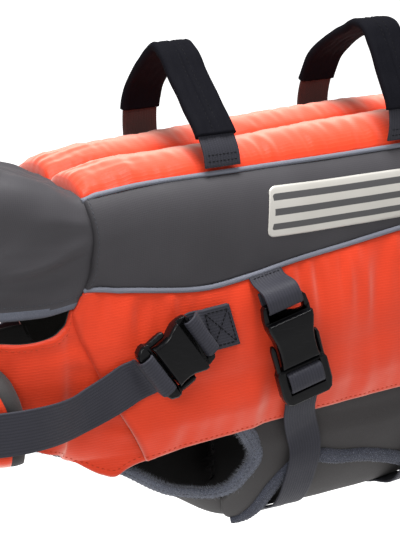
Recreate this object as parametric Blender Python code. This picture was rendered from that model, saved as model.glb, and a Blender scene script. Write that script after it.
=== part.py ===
"""Dog life jacket: padded back and side panels on webbing, worn form with no wearer.

Frame, in metres: X runs from the neck (-X) to the tail (+X), the wearer's left side is -Y, Z is up.
The origin is the middle of the back, on the face that rests on the wearer.

Every cloth piece is cut on one smooth body form. A place on that form is (x, s): x along the back and
s the distance round the body from the middle of the back, positive to the right. Layers lie at heights
over the form, so a piece that covers another one is made from the same points, moved out.
"""

import functools
import math

import bmesh
import bpy
import numpy as np
from mathutils import Matrix, Vector

# Driving sizes
GAP = 0.0003
WEBBING_WIDTH = 0.025
WEBBING = 0.0016
PIPING_RADIUS = 0.0016
BINDING_WIDTH = 0.0110
BINDING_THICKNESS = 0.0058
BINDING_GAP = 0.0016
WING_LIFT = 0.0034
NEOPRENE = 0.0025
SEAM_HEIGHT = 0.0043
REAR_X = 0.157
FRONT_X = -0.159

# Body form: x, top z, then y and z of the shoulder, rib, flank, hip and belly lines, then the keel z
SECTIONS = (
    (-0.176, -0.0040, 0.0420, -0.0080, 0.0450, -0.050, 0.0465, -0.100, 0.0450, -0.138, 0.0385, -0.160, -0.172),
    (-0.158, -0.0060, 0.0430, -0.0085, 0.0450, -0.053, 0.0475, -0.106, 0.0470, -0.142, 0.0430, -0.165, -0.183),
    (-0.125, -0.0020, 0.0445, -0.0060, 0.0515, -0.057, 0.0540, -0.112, 0.0505, -0.150, 0.0465, -0.173, -0.196),
    (-0.080, -0.0007, 0.0455, -0.0050, 0.0565, -0.058, 0.0600, -0.114, 0.0540, -0.158, 0.0460, -0.189, -0.2210),
    (-0.040, -0.0002, 0.0459, -0.0048, 0.0585, -0.057, 0.0620, -0.113, 0.0550, -0.160, 0.0450, -0.199, -0.2445),
    (0.000, 0.0000, 0.0460, -0.0047, 0.0590, -0.055, 0.0625, -0.112, 0.0555, -0.160, 0.0460, -0.200, -0.2462),
    (0.080, 0.0024, 0.0460, -0.0035, 0.0585, -0.050, 0.0620, -0.110, 0.0550, -0.158, 0.0455, -0.199, -0.2465),
    (0.160, 0.0035, 0.0450, -0.0030, 0.0560, -0.046, 0.0585, -0.107, 0.0520, -0.154, 0.0430, -0.193, -0.2385),
)

# Seams round the body: x, s
TOP_SEAM = ((-0.160, 0.0432), (-0.135, 0.0442), (-0.084, 0.0457), (0.000, 0.0463), (0.080, 0.0467), (0.158, 0.0455))
LOWER_SEAM = (
    (-0.174, 0.1160), (-0.170, 0.1110), (-0.165, 0.1035), (-0.161, 0.0985), (-0.156, 0.0975), (-0.138, 0.1018), (-0.113, 0.1078),
    (-0.085, 0.1116), (-0.056, 0.1092), (-0.021, 0.1038), (0.017, 0.0998), (0.056, 0.0960), (0.158, 0.0915),
)
FLAP_EDGE = ((-0.130, 0.2138), (-0.115, 0.2122), (-0.095, 0.2104), (-0.068, 0.2090), (0.000, 0.2056), (0.063, 0.2043), (0.158, 0.2030))
# Front ends of the pieces: share of the way down the piece, x
SIDE_PANEL_FRONT = ((0.0, -0.1588), (0.10, -0.1585), (0.38, -0.1556), (0.65, -0.1556), (0.82, -0.1563), (1.0, -0.1600))
FLAP_FRONT = ((0.0, -0.1700), (0.22, -0.1648), (0.457, -0.1546), (0.746, -0.1370), (1.0, -0.1232))

# Back pad: x, height of the two crowns, height of the middle seam
PAD_HEIGHTS = (
    (-0.159, 0.0115, 0.0058), (-0.120, 0.0120, 0.0055), (-0.060, 0.0124, 0.0036), (0.000, 0.0155, 0.0064),
    (0.080, 0.0155, 0.0068), (0.158, 0.0135, 0.0062),
)
PAD_END_LENGTH = 0.018
PIPING_GROOVE = 0.0023

# Wing of the belly band: share down the front edge, x; and share along the lower edge, x, distance from the keel
WING_TOP_S = 0.196
WING_TOP_X = (-0.0700, 0.1180)
WING_FRONT = ((0.0, -0.0700), (0.21, -0.0600), (0.30, -0.0550), (0.43, -0.0478), (0.52, -0.0472), (0.60, -0.0500), (0.75, -0.0570), (1.0, -0.0630))
WING_EDGE = (
    (0.00, -0.0630, 0.0340), (0.08, -0.0510, 0.0140), (0.16, -0.0370, 0.0080), (0.22, -0.0280, 0.0150),
    (0.28, -0.0232, 0.0330), (0.34, -0.0200, 0.0520), (0.40, -0.0120, 0.0650), (0.48, -0.0005, 0.0690),
    (0.60, 0.0208, 0.0640), (0.70, 0.0431, 0.0600), (0.81, 0.0703, 0.0490), (0.88, 0.0856, 0.0400), (1.00, 0.1180, 0.0260),
)
# Belly panel: x, half width round the keel, edge to edge of its binding
BELLY_WIDTH = (
    (-0.244, 0.021), (-0.215, 0.027), (-0.180, 0.0325), (-0.150, 0.0365), (-0.122, 0.0392), (-0.105, 0.0407),
    (-0.090, 0.0412), (-0.075, 0.0402), (-0.0663, 0.0424), (-0.0563, 0.0495), (-0.0500, 0.0585), (-0.0450, 0.0680),
    (-0.034, 0.0760), (0.000, 0.0790), (0.060, 0.0740), (0.118, 0.0600),
)
# Chest under the neck: x, keel z
KEEL = (
    (-0.244, -0.1480), (-0.215, -0.1500), (-0.178, -0.1640), (-0.158, -0.1720), (-0.139, -0.1810), (-0.125, -0.1885),
    (-0.114, -0.1970), (-0.100, -0.2060), (-0.091, -0.2130), (-0.080, -0.2215), (-0.050, -0.2380),
)
TONGUE_EDGE = 0.011
TONGUE_TURN = 0.0095

# Chest wrap: a level, rounded nose in plan
WRAP_X = -0.150
WRAP_LENGTH = 0.094
WRAP_HALF = 0.050
WRAP_POWER = 2.0 / 2.4
WALL_LOW_Z = -0.168
# Chest bib: distance t round the wrap from the front middle (left is negative), top z, bottom z
BIB_EDGES = (
    (-0.1500, -0.0750, -0.1750), (-0.1440, -0.0750, -0.1758), (-0.1342, -0.0750, -0.1790), (-0.1292, -0.0750, -0.1818),
    (-0.1202, -0.0750, -0.1795), (-0.1061, -0.0757, -0.1712), (-0.1000, -0.0765, -0.1674), (-0.0975, -0.0830, -0.1658),
    (-0.0925, -0.0870, -0.1628), (-0.0809, -0.0895, -0.1572), (-0.0712, -0.0893, -0.1532), (-0.0560, -0.0865, -0.1510),
    (0.0000, -0.0860, -0.1510), (0.0400, -0.0900, -0.1510),
)
BIB_FRONT_T = 0.030
TAB_EDGES = (
    (-0.034, -0.1020, -0.1510), (0.000, -0.1040, -0.1510), (0.040, -0.1110, -0.1540), (0.080, -0.1200, -0.1620),
    (0.105, -0.1270, -0.1715), (0.128, -0.1300, -0.1790), (0.150, -0.1300, -0.1790),
)
# Collar: share of the way from the top to the hem, edge angle round the neck in degrees
NECK_EDGE = ((0.0, 27.0), (0.184, 29.0), (0.367, 36.0), (0.514, 46.0), (0.606, 58.0), (0.68, 76.0), (0.735, 97.0), (1.0, 97.0))
NECK_RISE = 0.39
HEM_DROP = 0.0030
HEM_S = 0.1080

# Front float: thickness, and share of the way down, half length round the wrap, z
FLOAT_THICKNESS = 0.021
FLOAT_EDGES = ((0.0, 0.0530, -0.0960), (0.12, 0.0585, -0.1030), (0.30, 0.0635, -0.1140), (0.65, 0.0665, -0.1340), (1.0, 0.0655, -0.1550))

# Handles: middle x, and y, z of the webbing's middle line from left to right
HANDLES = {
    "front": (-0.067, (
        (-0.0500, 0.0022), (-0.0475, 0.0120), (-0.0410, 0.0215), (-0.0250, 0.0365), (-0.0080, 0.0525),
        (0.0040, 0.0640), (0.0110, 0.0670), (0.0185, 0.0625), (0.0350, 0.0480), (0.0455, 0.0355),
        (0.0500, 0.0240), (0.0510, 0.0120), (0.0500, 0.0022))),
    "rear": (0.067, (
        (-0.0500, 0.0040), (-0.0520, 0.0140), (-0.0505, 0.0270), (-0.0400, 0.0460), (-0.0290, 0.0640),
        (-0.0220, 0.0725), (-0.0140, 0.0740), (0.0000, 0.0680), (0.0180, 0.0590), (0.0365, 0.0450),
        (0.0445, 0.0320), (0.0500, 0.0140), (0.0500, 0.0040))),
}
SLEEVE_THICKNESS = 0.0018
SLEEVE_SPANS = {"front": (0.094, 0.885), "rear": (0.110, 0.87)}
HANDLE_STATIONS = 33

# Girth straps: x at the seam, x of the buckle's two ends
GIRTH_STRAPS = {"front": (-0.0450, -0.0415, -0.0215), "rear": (0.0800, 0.0800, 0.0880)}
# Their run under the body: distance from the keel, x, height over the body form
STRAP_RUNS = {
    "front": (
        (0.000, -0.0185, 0.0036), (0.014, -0.0148, 0.0036), (0.026, -0.0108, 0.0044), (0.038, -0.0096, 0.0094),
        (0.048, -0.0098, 0.0106), (0.066, -0.0105, 0.0108), (0.080, -0.0105, 0.0106), (0.092, -0.0105, 0.0084),
        (0.130, -0.0105, 0.0080)),
    "rear": (
        (0.000, 0.0900, 0.0036), (0.016, 0.0900, 0.0038), (0.024, 0.0900, 0.0072), (0.032, 0.0900, 0.0104),
        (0.045, 0.0900, 0.0108), (0.058, 0.0900, 0.0106), (0.070, 0.0900, 0.0084), (0.130, 0.0900, 0.0080)),
}
GIRTH_WEBBING = 0.0234
GIRTH_BUCKLE_SCALE = (0.96, 0.93)
GIRTH_BUCKLE_TURN = 7.0
BUCKLE_LENGTH = 0.072
BUCKLE_THICKNESS = 0.0105
# Side-release buckle, female half: distance from the bar end, half width
FEMALE_OUTLINE = (
    (0.000, 0.0140), (0.002, 0.0158), (0.009, 0.0168), (0.016, 0.0166), (0.0215, 0.0152), (0.026, 0.0138),
    (0.032, 0.0132), (0.040, 0.0133), (0.0445, 0.0140),
)
FEMALE_SLOT = (0.0040, 0.0115)
MALE_BASE = (0.0455, 0.0720)
MALE_SLOTS = ((0.0470, 0.0506), (0.0605, 0.0642))
# The neck buckle's strap turns round its last bar
NECK_MALE_BASE = (0.0455, 0.0605)
# Strap through the male half, from its tail: distance from the bar end, height of its lower face
MALE_STRAP = (
    (0.0502, -0.0012), (0.0502, 0.0020), (0.0501, 0.0080), (0.0505, 0.0095), (0.0525, 0.0102), (0.0556, 0.0104),
    (0.0588, 0.0102), (0.0607, 0.0095), (0.0611, 0.0080), (0.0611, 0.0020), (0.0611, -0.0004), (0.0620, -0.0026),
    (0.0645, -0.0036),
)
# Tab round the socket's bar: distance from the bar end, height of its lower face
TAB_LOOP = (
    (-0.0055, 0.0048), (-0.0022, 0.0066), (0.0006, 0.0069), (0.0038, 0.0068), (0.0048, 0.0052), (0.0048, 0.0005),
    (0.0030, -0.0016), (-0.0020, -0.0028), (-0.0060, -0.0031),
)

# Neck strap: wider webbing, a shorter and wider buckle, and the patch that the tab is sewn down in
NECK_WEBBING = 0.027
NECK_BUCKLE_SCALE = (0.64, 1.09)
NECK_BUCKLE_ENDS = ((-0.0955, -0.0918), (-0.1316, -0.1160))
NECK_PATCH = ((-0.0710, -0.0900), (-0.0890, -0.0918))
NECK_PATCH_TILT = 14.5
# Distance t round the wrap from the front middle, z, height of the lower face
NECK_STRAP = (
    (-0.1330, -0.1165, 0.0110), (-0.1240, -0.1220, 0.0108), (-0.1138, -0.1268, 0.0108), (-0.1050, -0.1292, 0.0112),
    (-0.0974, -0.1300, 0.0130), (-0.0890, -0.1305, 0.0172), (-0.0810, -0.1300, 0.0230), (-0.0730, -0.1290, 0.0290),
    (-0.0643, -0.1280, 0.0340), (-0.0534, -0.1290, 0.0354), (-0.0300, -0.1305, 0.0348), (0.0300, -0.1305, 0.0348),
    (0.0534, -0.1290, 0.0354), (0.0643, -0.1280, 0.0340), (0.0730, -0.1285, 0.0290), (0.0810, -0.1285, 0.0230),
    (0.0890, -0.1280, 0.0165), (0.0974, -0.1260, 0.0130), (0.1138, -0.1215, 0.0110), (0.1290, -0.1150, 0.0112),
    (0.1500, -0.1050, 0.0112), (0.1700, -0.0975, 0.0112), (0.1850, -0.0935, 0.0110), (0.1985, -0.0915, 0.0105),
)

# Colours
ORANGE = (0.78, 0.095, 0.03, 1)
GREY = (0.070, 0.069, 0.072, 1)
LINING = (0.052, 0.050, 0.045, 1)
PIPING = (0.17, 0.18, 0.21, 1)
FUZZ = (0.16, 0.17, 0.20, 1)
WEB = (0.032, 0.032, 0.042, 1)
BLACK = (0.012, 0.012, 0.014, 1)


# ---------------------------------------------------------------- tables and curves
def smooth(t):
    """0 to 1 with level ends."""
    t = min(max(t, 0.0), 1.0)
    return t * t * (3 - 2 * t)


def read(rows, key):
    """The other columns of a short table at this key, on smooth curves through its rows."""
    table = np.array(rows, float)
    keys, values = table[:, 0], table[:, 1:]
    key = min(max(key, keys[0]), keys[-1])
    i = int(min(max(np.searchsorted(keys, key) - 1, 0), len(keys) - 2))
    slopes = np.gradient(values, keys, axis=0)
    step = keys[i + 1] - keys[i]
    t = (key - keys[i]) / step
    start = (2 * t**3 - 3 * t**2 + 1) * values[i] + (t**3 - 2 * t**2 + t) * step * slopes[i]
    end = (3 * t**2 - 2 * t**3) * values[i + 1] + (t**3 - t**2) * step * slopes[i + 1]
    found = start + end
    return float(found[0]) if len(found) == 1 else found


def straight(rows, key):
    """One column of a table, with straight lines between its rows."""
    table = np.array(rows, float)
    return float(np.interp(key, table[:, 0], table[:, 1]))


def trace(points, count):
    """A smooth curve through these points, as evenly spaced points along it."""
    points = np.array(points, float)
    chords = np.concatenate([[0], np.cumsum(np.linalg.norm(np.diff(points, axis=0), axis=1))])
    rows = np.column_stack([chords, points])
    fine = np.array([read(rows, c) for c in np.linspace(0, chords[-1], 12 * count)])
    lengths = np.concatenate([[0], np.cumsum(np.linalg.norm(np.diff(fine, axis=0), axis=1))])
    even = np.linspace(0, lengths[-1], count)
    return np.column_stack([np.interp(even, lengths, column) for column in fine.T])


# ---------------------------------------------------------------- body form
def closed_spline(points, pieces):
    """The closed cubic curve through these points."""
    count = len(points)
    spans = np.linalg.norm(np.roll(points, -1, axis=0) - points, axis=1)
    matrix = np.zeros((count, count))
    right = np.zeros(points.shape)
    for i in range(count):
        before, after, nxt = spans[i - 1], spans[i], (i + 1) % count
        matrix[i, i - 1] = after
        matrix[i, i] = 2 * (before + after)
        matrix[i, nxt] = before
        right[i] = 3 * (after * (points[i] - points[i - 1]) / before + before * (points[nxt] - points[i]) / after)
    slopes = np.linalg.solve(matrix, right)
    curve = []
    for i in range(count):
        nxt = (i + 1) % count
        for t in np.arange(pieces) / pieces:
            curve.append(
                (2 * t**3 - 3 * t**2 + 1) * points[i] + (t**3 - 2 * t**2 + t) * spans[i] * slopes[i]
                + (3 * t**2 - 2 * t**3) * points[nxt] + (t**3 - t**2) * spans[i] * slopes[nxt])
    return np.array(curve)


@functools.lru_cache(maxsize=None)
def section(x):
    """The form's outline at x: distances round it from the top, and y, z there."""
    top, sy, sz, ry, rz, fy, fz, hy, hz, by, bz, keel = read(SECTIONS, x)
    half = [(0, top), (0.55 * sy, top - 0.12 * (top - sz)), (sy, sz), (ry, rz), (fy, fz), (hy, hz), (by, bz), (0, keel)]
    points = np.array(half + [(-y, z) for y, z in half[-2:0:-1]])
    curve = closed_spline(points, 20)
    curve = np.vstack([curve, curve[:1]])
    around = np.concatenate([[0], np.cumsum(np.linalg.norm(np.diff(curve, axis=0), axis=1))])
    return around, curve


def girth(x):
    return section(round(x, 4))[0][-1]


def body(x, s):
    """A point of the body form."""
    around, curve = section(round(x, 4))
    s = s % around[-1]
    return np.array([x, np.interp(s, around, curve[:, 0]), np.interp(s, around, curve[:, 1])])


def side_distance(x, z):
    """The distance s at which the form's right side reaches this height."""
    around, curve = section(round(x, 4))
    half = len(around) // 2
    first = int(0.22 * half)
    return float(np.interp(-z, -curve[first:half, 1], around[first:half]))


def raised(surface, a, b, height, mark=(0.0008, 0.0006)):
    """The point of a surface at (a, b), moved out by height along its normal."""
    along = surface(a + mark[0], b) - surface(a - mark[0], b)
    across = surface(a, b + mark[1]) - surface(a, b - mark[1])
    normal = np.cross(along, across)
    normal /= np.linalg.norm(normal)
    return surface(a, b) + normal * height


def keel_form(x, k):
    """The underside at a distance k from the keel, to the right: a tongue with turned-up edges, then the body."""
    keel, side = read(KEEL, x), math.copysign(1, k)
    flat = read(BELLY_WIDTH, x) - TONGUE_EDGE
    turn = max(abs(k) - flat, 0.0) / TONGUE_TURN
    y = min(abs(k), flat) + TONGUE_TURN * math.sin(turn)
    z = keel + 1.6 * min(abs(k), flat) ** 2 + TONGUE_TURN * (1 - math.cos(turn))
    under = body(x, girth(x) / 2 - k)
    share = smooth((x + 0.106) / 0.038)
    return np.array([x, side * y, z]) * (1 - share) + under * share


# ---------------------------------------------------------------- chest wrap
def wrap_plan():
    """The wrap in plan, from the front middle back along the right side: distances, x, y."""
    angles = np.radians(np.linspace(90, 0, 181))
    x = WRAP_X - WRAP_LENGTH * np.sin(angles) ** WRAP_POWER
    y = WRAP_HALF * np.cos(angles) ** WRAP_POWER
    y[0] = 0.0
    x = np.append(x, WRAP_X + 0.110)
    y = np.append(y, WRAP_HALF + 0.010)
    around = np.concatenate([[0], np.cumsum(np.hypot(np.diff(x), np.diff(y)))])
    return around, x, y


WRAP_AROUND, WRAP_XS, WRAP_YS = wrap_plan()


def wrap_x(t):
    return float(np.interp(abs(t), WRAP_AROUND, WRAP_XS))


def wrap_t(x):
    """Distance round the wrap, from the front middle, at which its right side reaches this x."""
    return float(np.interp(x, WRAP_XS, WRAP_AROUND))


def wrap(t, z):
    """The chest wrap at a distance t round it and a height z; it runs into the body form at its rear."""
    x = wrap_x(t)
    side = math.copysign(1, t)
    nose = np.array([x, side * np.interp(abs(t), WRAP_AROUND, WRAP_YS), z])
    share = smooth((abs(t) - 0.080) / 0.018)
    if share == 0:
        return nose
    flank = body(x, side * side_distance(x, max(z, WALL_LOW_Z)))
    flank[2] = z
    return nose * (1 - share) + flank * share


def wrap_out(t, z, height):
    """The point of the wrap moved out; t grows to the right, so its normal faces forward and out."""
    return raised(lambda a, b: wrap(b, a), z, t, height)


def neck(angle, s):
    """The collar's form: an angle round the neck in degrees, and a distance s round the body."""
    turn = math.radians(angle)
    reach = WRAP_X - WRAP_LENGTH * abs(math.sin(turn)) ** WRAP_POWER
    narrow = math.copysign(abs(math.cos(turn)) ** WRAP_POWER, math.cos(turn))
    start = body(-0.160, s)
    upper = 1 - smooth((abs(s) - 0.020) / 0.060)
    ahead = max(-0.160 - reach, 0.0)
    lift = NECK_RISE * ahead * upper
    drop = HEM_DROP * smooth((-0.161 - reach) / 0.026) * (abs(s) / HEM_S) ** 2
    form = np.array([reach, start[1] * narrow, start[2] + lift - drop])
    share = smooth((-reach - 0.156) / 0.020)
    return form * share + body(reach, s) * (1 - share)


# ---------------------------------------------------------------- making solids
def new_material(name, colour, roughness, metallic=0.0):
    material = bpy.data.materials.new(name)
    material.use_nodes = True
    shader = material.node_tree.nodes["Principled BSDF"]
    shader.inputs["Base Color"].default_value = colour
    shader.inputs["Roughness"].default_value = roughness
    shader.inputs["Metallic"].default_value = metallic
    material.diffuse_color = colour
    return material


def keep(name, bm, material, collection):
    """Makes an object of this mesh, with its faces turned out."""
    bmesh.ops.recalc_face_normals(bm, faces=bm.faces)
    if bm.calc_volume(signed=True) < 0:
        bmesh.ops.reverse_faces(bm, faces=bm.faces)
    mesh = bpy.data.meshes.new(name)
    bm.to_mesh(mesh)
    bm.free()
    mesh.materials.append(material)
    obj = bpy.data.objects.new(name, mesh)
    collection.objects.link(obj)
    return obj


def sheet(name, outer, inner, material, collection):
    """A closed wall between two grids of points with the same rows and columns."""
    bm = bmesh.new()
    rows, columns = len(outer), len(outer[0])
    top = [[bm.verts.new(p) for p in row] for row in outer]
    low = [[bm.verts.new(p) for p in row] for row in inner]
    for i in range(rows - 1):
        for j in range(columns - 1):
            bm.faces.new((top[i][j], top[i + 1][j], top[i + 1][j + 1], top[i][j + 1]))
            bm.faces.new((low[i][j], low[i][j + 1], low[i + 1][j + 1], low[i + 1][j]))
    rim = [(i, 0) for i in range(rows)] + [(rows - 1, j) for j in range(1, columns)]
    rim += [(i, columns - 1) for i in range(rows - 2, -1, -1)] + [(0, j) for j in range(columns - 2, 0, -1)]
    for (i, j), (k, m) in zip(rim, rim[1:] + rim[:1]):
        bm.faces.new((top[i][j], low[i][j], low[k][m], top[k][m]))
    return keep(name, bm, material, collection)


def rings(name, loops, material, collection, closed=False):
    """A solid through equal loops of points, capped at both ends unless it closes on itself."""
    bm = bmesh.new()
    made = [[bm.verts.new(p) for p in loop] for loop in loops]
    pairs = list(zip(made, made[1:])) + ([(made[-1], made[0])] if closed else [])
    for first, second in pairs:
        for k in range(len(first)):
            m = (k + 1) % len(first)
            bm.faces.new((first[k], first[m], second[m], second[k]))
    if not closed:
        bm.faces.new(made[0])
        bm.faces.new(made[-1])
        bmesh.ops.triangulate(bm, faces=[f for f in bm.faces if len(f.verts) > 4])
    return keep(name, bm, material, collection)


def frames(points, ups):
    """Middle point, direction across and normal at each point of a path."""
    found = []
    for i, point in enumerate(points):
        ahead = points[min(i + 1, len(points) - 1)] - points[max(i - 1, 0)]
        ahead = ahead / np.linalg.norm(ahead)
        up = ups[i] - ahead * float(np.dot(ups[i], ahead))
        up = up / np.linalg.norm(up)
        found.append((point, np.cross(up, ahead), up))
    return found


def webbing(name, path, material, collection, width=WEBBING_WIDTH, thickness=WEBBING):
    """Flat webbing along frames of (middle of its lower face, across, up)."""
    loops = []
    for point, across, up in path:
        a, b = across * width / 2, up * thickness
        loops.append([point - a, point + a, point + a + b, point - a + b])
    return rings(name, loops, material, collection)


def round_bar(name, path, material, collection, half_width, half_thickness, sides):
    """A rounded bar along frames of (middle, across, up)."""
    loops = []
    for point, across, up in path:
        loop = []
        for k in range(sides):
            turn = 2 * math.pi * (k + 0.5) / sides
            loop.append(point + across * half_width * math.cos(turn) + up * half_thickness * math.sin(turn))
        loops.append(loop)
    return rings(name, loops, material, collection)


# ---------------------------------------------------------------- panels
def panel_grid(front, rear, top, bottom, columns, rows):
    """Places of a piece on the body: (u, v, x, s) with u from front to rear and v from top to bottom."""
    grid = []
    for i in range(columns + 1):
        u = (i / columns) ** 1.35
        line = []
        for j in range(rows + 1):
            v = j / rows
            x = front(v) * (1 - u) + rear(v) * u
            line.append((u, v, x, top(x) * (1 - v) + bottom(x) * v))
        grid.append(line)
    return grid


def rounding(distance, reach):
    """How far padding has filled at this distance from its seam: 0 at the seam, 1 from reach on."""
    share = min(max(distance / reach, 0.0), 1.0)
    return math.sqrt(max(1 - (1 - share) ** 2, 0.0))


def pad_height(x, s):
    """Top face of the back pad: two lengthwise crowns beside a middle seam."""
    crown, middle = read(PAD_HEIGHTS, x)
    seam = read(TOP_SEAM, x)
    w = min(abs(s) / (seam - PIPING_GROOVE), 1.0)
    ends = rounding(min(x - FRONT_X, REAR_X - x), PAD_END_LENGTH)
    across = max(math.sin(math.pi * w**1.12), 0.0) ** 0.72
    base = middle * (1 - w) + SEAM_HEIGHT * w
    lobe = (crown - 0.5 * (middle + SEAM_HEIGHT)) * across
    return SEAM_HEIGHT * 0.8 * (1 - ends) + ends * (base + lobe)


def build_back_pad(material, collection):
    outer, inner = [], []
    columns, rows = 20, 16
    for i in range(columns + 1):
        share = i / columns
        x = FRONT_X + (REAR_X - FRONT_X) * (0.5 - 0.5 * math.cos(math.pi * share)) * 0.45
        x += (REAR_X - FRONT_X) * share * 0.55
        half = read(TOP_SEAM, x) - GAP / 2
        inside = half - PIPING_GROOVE
        places = [(x, -half)] + [(x, inside * (-1 + 2 * j / rows)) for j in range(rows + 1)] + [(x, half)]
        outer.append([raised(body, a, s, pad_height(a, s)) for a, s in places])
        inner.append([raised(body, a, s, 0.0) for a, s in places])
    return sheet("back_pad", outer, inner, material, collection)


def side_panel_height(v):
    return SEAM_HEIGHT + 0.0011 * math.sin(math.pi * v)


def build_side_panel(name, side, material, collection):
    grid = panel_grid(
        lambda v: read(SIDE_PANEL_FRONT, v), lambda v: REAR_X,
        lambda x: read(TOP_SEAM, x) + GAP / 2, lambda x: read(LOWER_SEAM, x) - GAP / 2, 20, 4)
    outer = [[raised(body, x, side * s, side_panel_height(v)) for u, v, x, s in line] for line in grid]
    inner = [[raised(body, x, side * s, 0.0) for u, v, x, s in line] for line in grid]
    return sheet(name, outer, inner, material, collection)


def flap_share(x, s):
    top, bottom = read(LOWER_SEAM, x), read(FLAP_EDGE, x)
    return min(max((s - top) / (bottom - top), 0.0), 1.0)


def flap_inner(x, s):
    """Inner face of the side flap: on the body at its seam, then clear of the wing that it covers."""
    clear = 0.0047 + 0.0022 * smooth((-0.042 - x) / 0.012)
    return clear * smooth((flap_share(x, s) - 0.55) / 0.27)


def flap_outer(x, s):
    """Outer face of the side flap, softly filled between its edges."""
    v = flap_share(x, s)
    front = read(FLAP_FRONT, v)
    fill = 0.0060 * rounding(x - front, 0.030) * rounding(REAR_X - x, 0.030)
    across = max(math.sin(math.pi * v**0.9), 0.0) ** 0.8
    return flap_inner(x, s) + SEAM_HEIGHT * (1 - v) + 0.0030 * v + fill * across


def build_side_flap(name, side, material, collection):
    grid = panel_grid(
        lambda v: read(FLAP_FRONT, v), lambda v: REAR_X,
        lambda x: read(LOWER_SEAM, x) + GAP * 0.8, lambda x: read(FLAP_EDGE, x), 20, 8)
    outer = [[raised(body, x, side * s, flap_outer(x, s)) for u, v, x, s in line] for line in grid]
    inner = [[raised(body, x, side * s, flap_inner(x, s)) for u, v, x, s in line] for line in grid]
    return sheet(name, outer, inner, material, collection)


# ---------------------------------------------------------------- belly band
def wing_edge(u, inset):
    """x and s of the wing's lower edge at this share along it, moved in by the inset."""
    x, k = read(WING_EDGE, u)
    ahead = read(WING_EDGE, min(u + 0.01, 1.0)) - read(WING_EDGE, max(u - 0.01, 0.0))
    along, up = ahead / np.linalg.norm(ahead)
    x, k = x - up * inset, k + along * inset
    return x, girth(x) / 2 - k


def wing_place(u, v):
    """x and s of the wing at these shares along and down it, binding left out."""
    inset = BINDING_WIDTH + 2.3 * BINDING_GAP
    low_x, low_s = wing_edge(u, inset)
    top_x = WING_TOP_X[0] + inset + (WING_TOP_X[1] - WING_TOP_X[0] - inset) * u
    corner_x, corner_s = wing_edge(0.0, inset)
    bow = read(WING_FRONT, v) - WING_TOP_X[0] * (1 - v) - WING_EDGE[0][1] * v
    lead = (WING_EDGE[0][1] + inset - corner_x) * v
    x = top_x * (1 - v) + low_x * v + (bow + lead) * (1 - u) ** 3
    return x, WING_TOP_S * (1 - v) + low_s * v


def wing_lift(x, s):
    """Inner face of the wing: close to the body under the flap, then clear of the belly panel."""
    from_keel = girth(x) / 2 - s
    return 0.0006 + (WING_LIFT - 0.0006) * smooth((0.104 - from_keel) / 0.016)


def build_wing(name, side, material, collection):
    columns, rows = 18, 8
    outer, inner = [], []
    for i in range(columns + 1):
        places = [wing_place(i / columns, j / rows) for j in range(rows + 1)]
        outer.append([raised(body, x, side * s, wing_lift(x, s) + NEOPRENE) for x, s in places])
        inner.append([raised(body, x, side * s, wing_lift(x, s)) for x, s in places])
    return sheet(name, outer, inner, material, collection)


def belly_front_x(k):
    """x at which the tongue's end meets the inside of the chest closure."""
    share = min(abs(k) / WRAP_HALF, 0.95)
    return WRAP_X - WRAP_LENGTH * (1 - share ** (2 / WRAP_POWER)) ** (WRAP_POWER / 2) + 2 * GAP


def build_belly_panel(material, collection):
    columns, rows = 24, 12
    outer, inner = [], []
    for i in range(columns + 1):
        u = i / columns
        top_line, low_line = [], []
        for j in range(rows + 1):
            w = -1 + 2 * j / rows
            front = belly_front_x(w * 0.012)
            x = front * (1 - u) + BELLY_WIDTH[-1][0] * u
            k = w * (read(BELLY_WIDTH, x) - BINDING_WIDTH - BINDING_GAP - GAP)
            top_line.append(raised(keel_form, x, k, -NEOPRENE))
            low_line.append(raised(keel_form, x, k, 0.0))
        outer.append(top_line)
        inner.append(low_line)
    return sheet("belly_panel", outer, inner, material, collection)


def leg_binding_path(side):
    """The binding's middle and outward step: down the wing's front edge, then forward along the panel."""
    half = BINDING_WIDTH / 2
    rows = []
    for v in np.linspace(0.16, 0.66, 7):
        x = read(WING_FRONT, v) + half
        s = side * (WING_TOP_S * (1 - v) + wing_edge(0.0, half)[1] * v)
        height = 0.0032 + 0.0010 * v
        here = raised(body, x, s, height)
        rows.append([*here, *(raised(body, x, s, height + 0.0001) - here)])
    for x in np.linspace(-0.0600, -0.205, 16):
        k = side * (read(BELLY_WIDTH, x) - half)
        height = 0.0013 + 0.0022 * smooth((x + 0.085) / 0.025)
        here = raised(keel_form, x, k, -height)
        rows.append([*here, *(raised(keel_form, x, k, -height - 0.0001) - here)])
    return rows


def outward(points, centre_y, centre_z):
    """Rough outward directions from a line along the body."""
    return [np.array([0.0, p[1] - centre_y, p[2] - centre_z]) for p in points]


def build_leg_binding(name, side, material, collection):
    rows = trace(leg_binding_path(side), 30)
    path = frames(rows[:, :3], rows[:, 3:])
    return round_bar(name, path, material, collection, BINDING_WIDTH / 2, BINDING_THICKNESS / 2, 6)


def build_wing_binding(name, side, material, collection):
    """Binding of the wing's lower edge, from its tip at the keel up into the arch."""
    half = BINDING_WIDTH / 2
    rows = [(*wing_edge(u, half), WING_LIFT + BINDING_THICKNESS / 2) for u in np.linspace(0.17, 1.0, 24)]
    path = body_strap(rows, side, 30)
    return round_bar(name, path, material, collection, half, BINDING_THICKNESS / 2, 6)


# ---------------------------------------------------------------- piping
def build_piping(name, seam, front, side, material, collection):
    lift = SEAM_HEIGHT + GAP + PIPING_RADIUS
    points = [raised(body, x, side * read(seam, x), lift) for x in front + (REAR_X - front) * np.linspace(0, 1, 22) ** 1.3]
    path = frames(points, outward(points, 0.0, -0.060))
    return round_bar(name, path, material, collection, PIPING_RADIUS, PIPING_RADIUS, 6)


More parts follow.
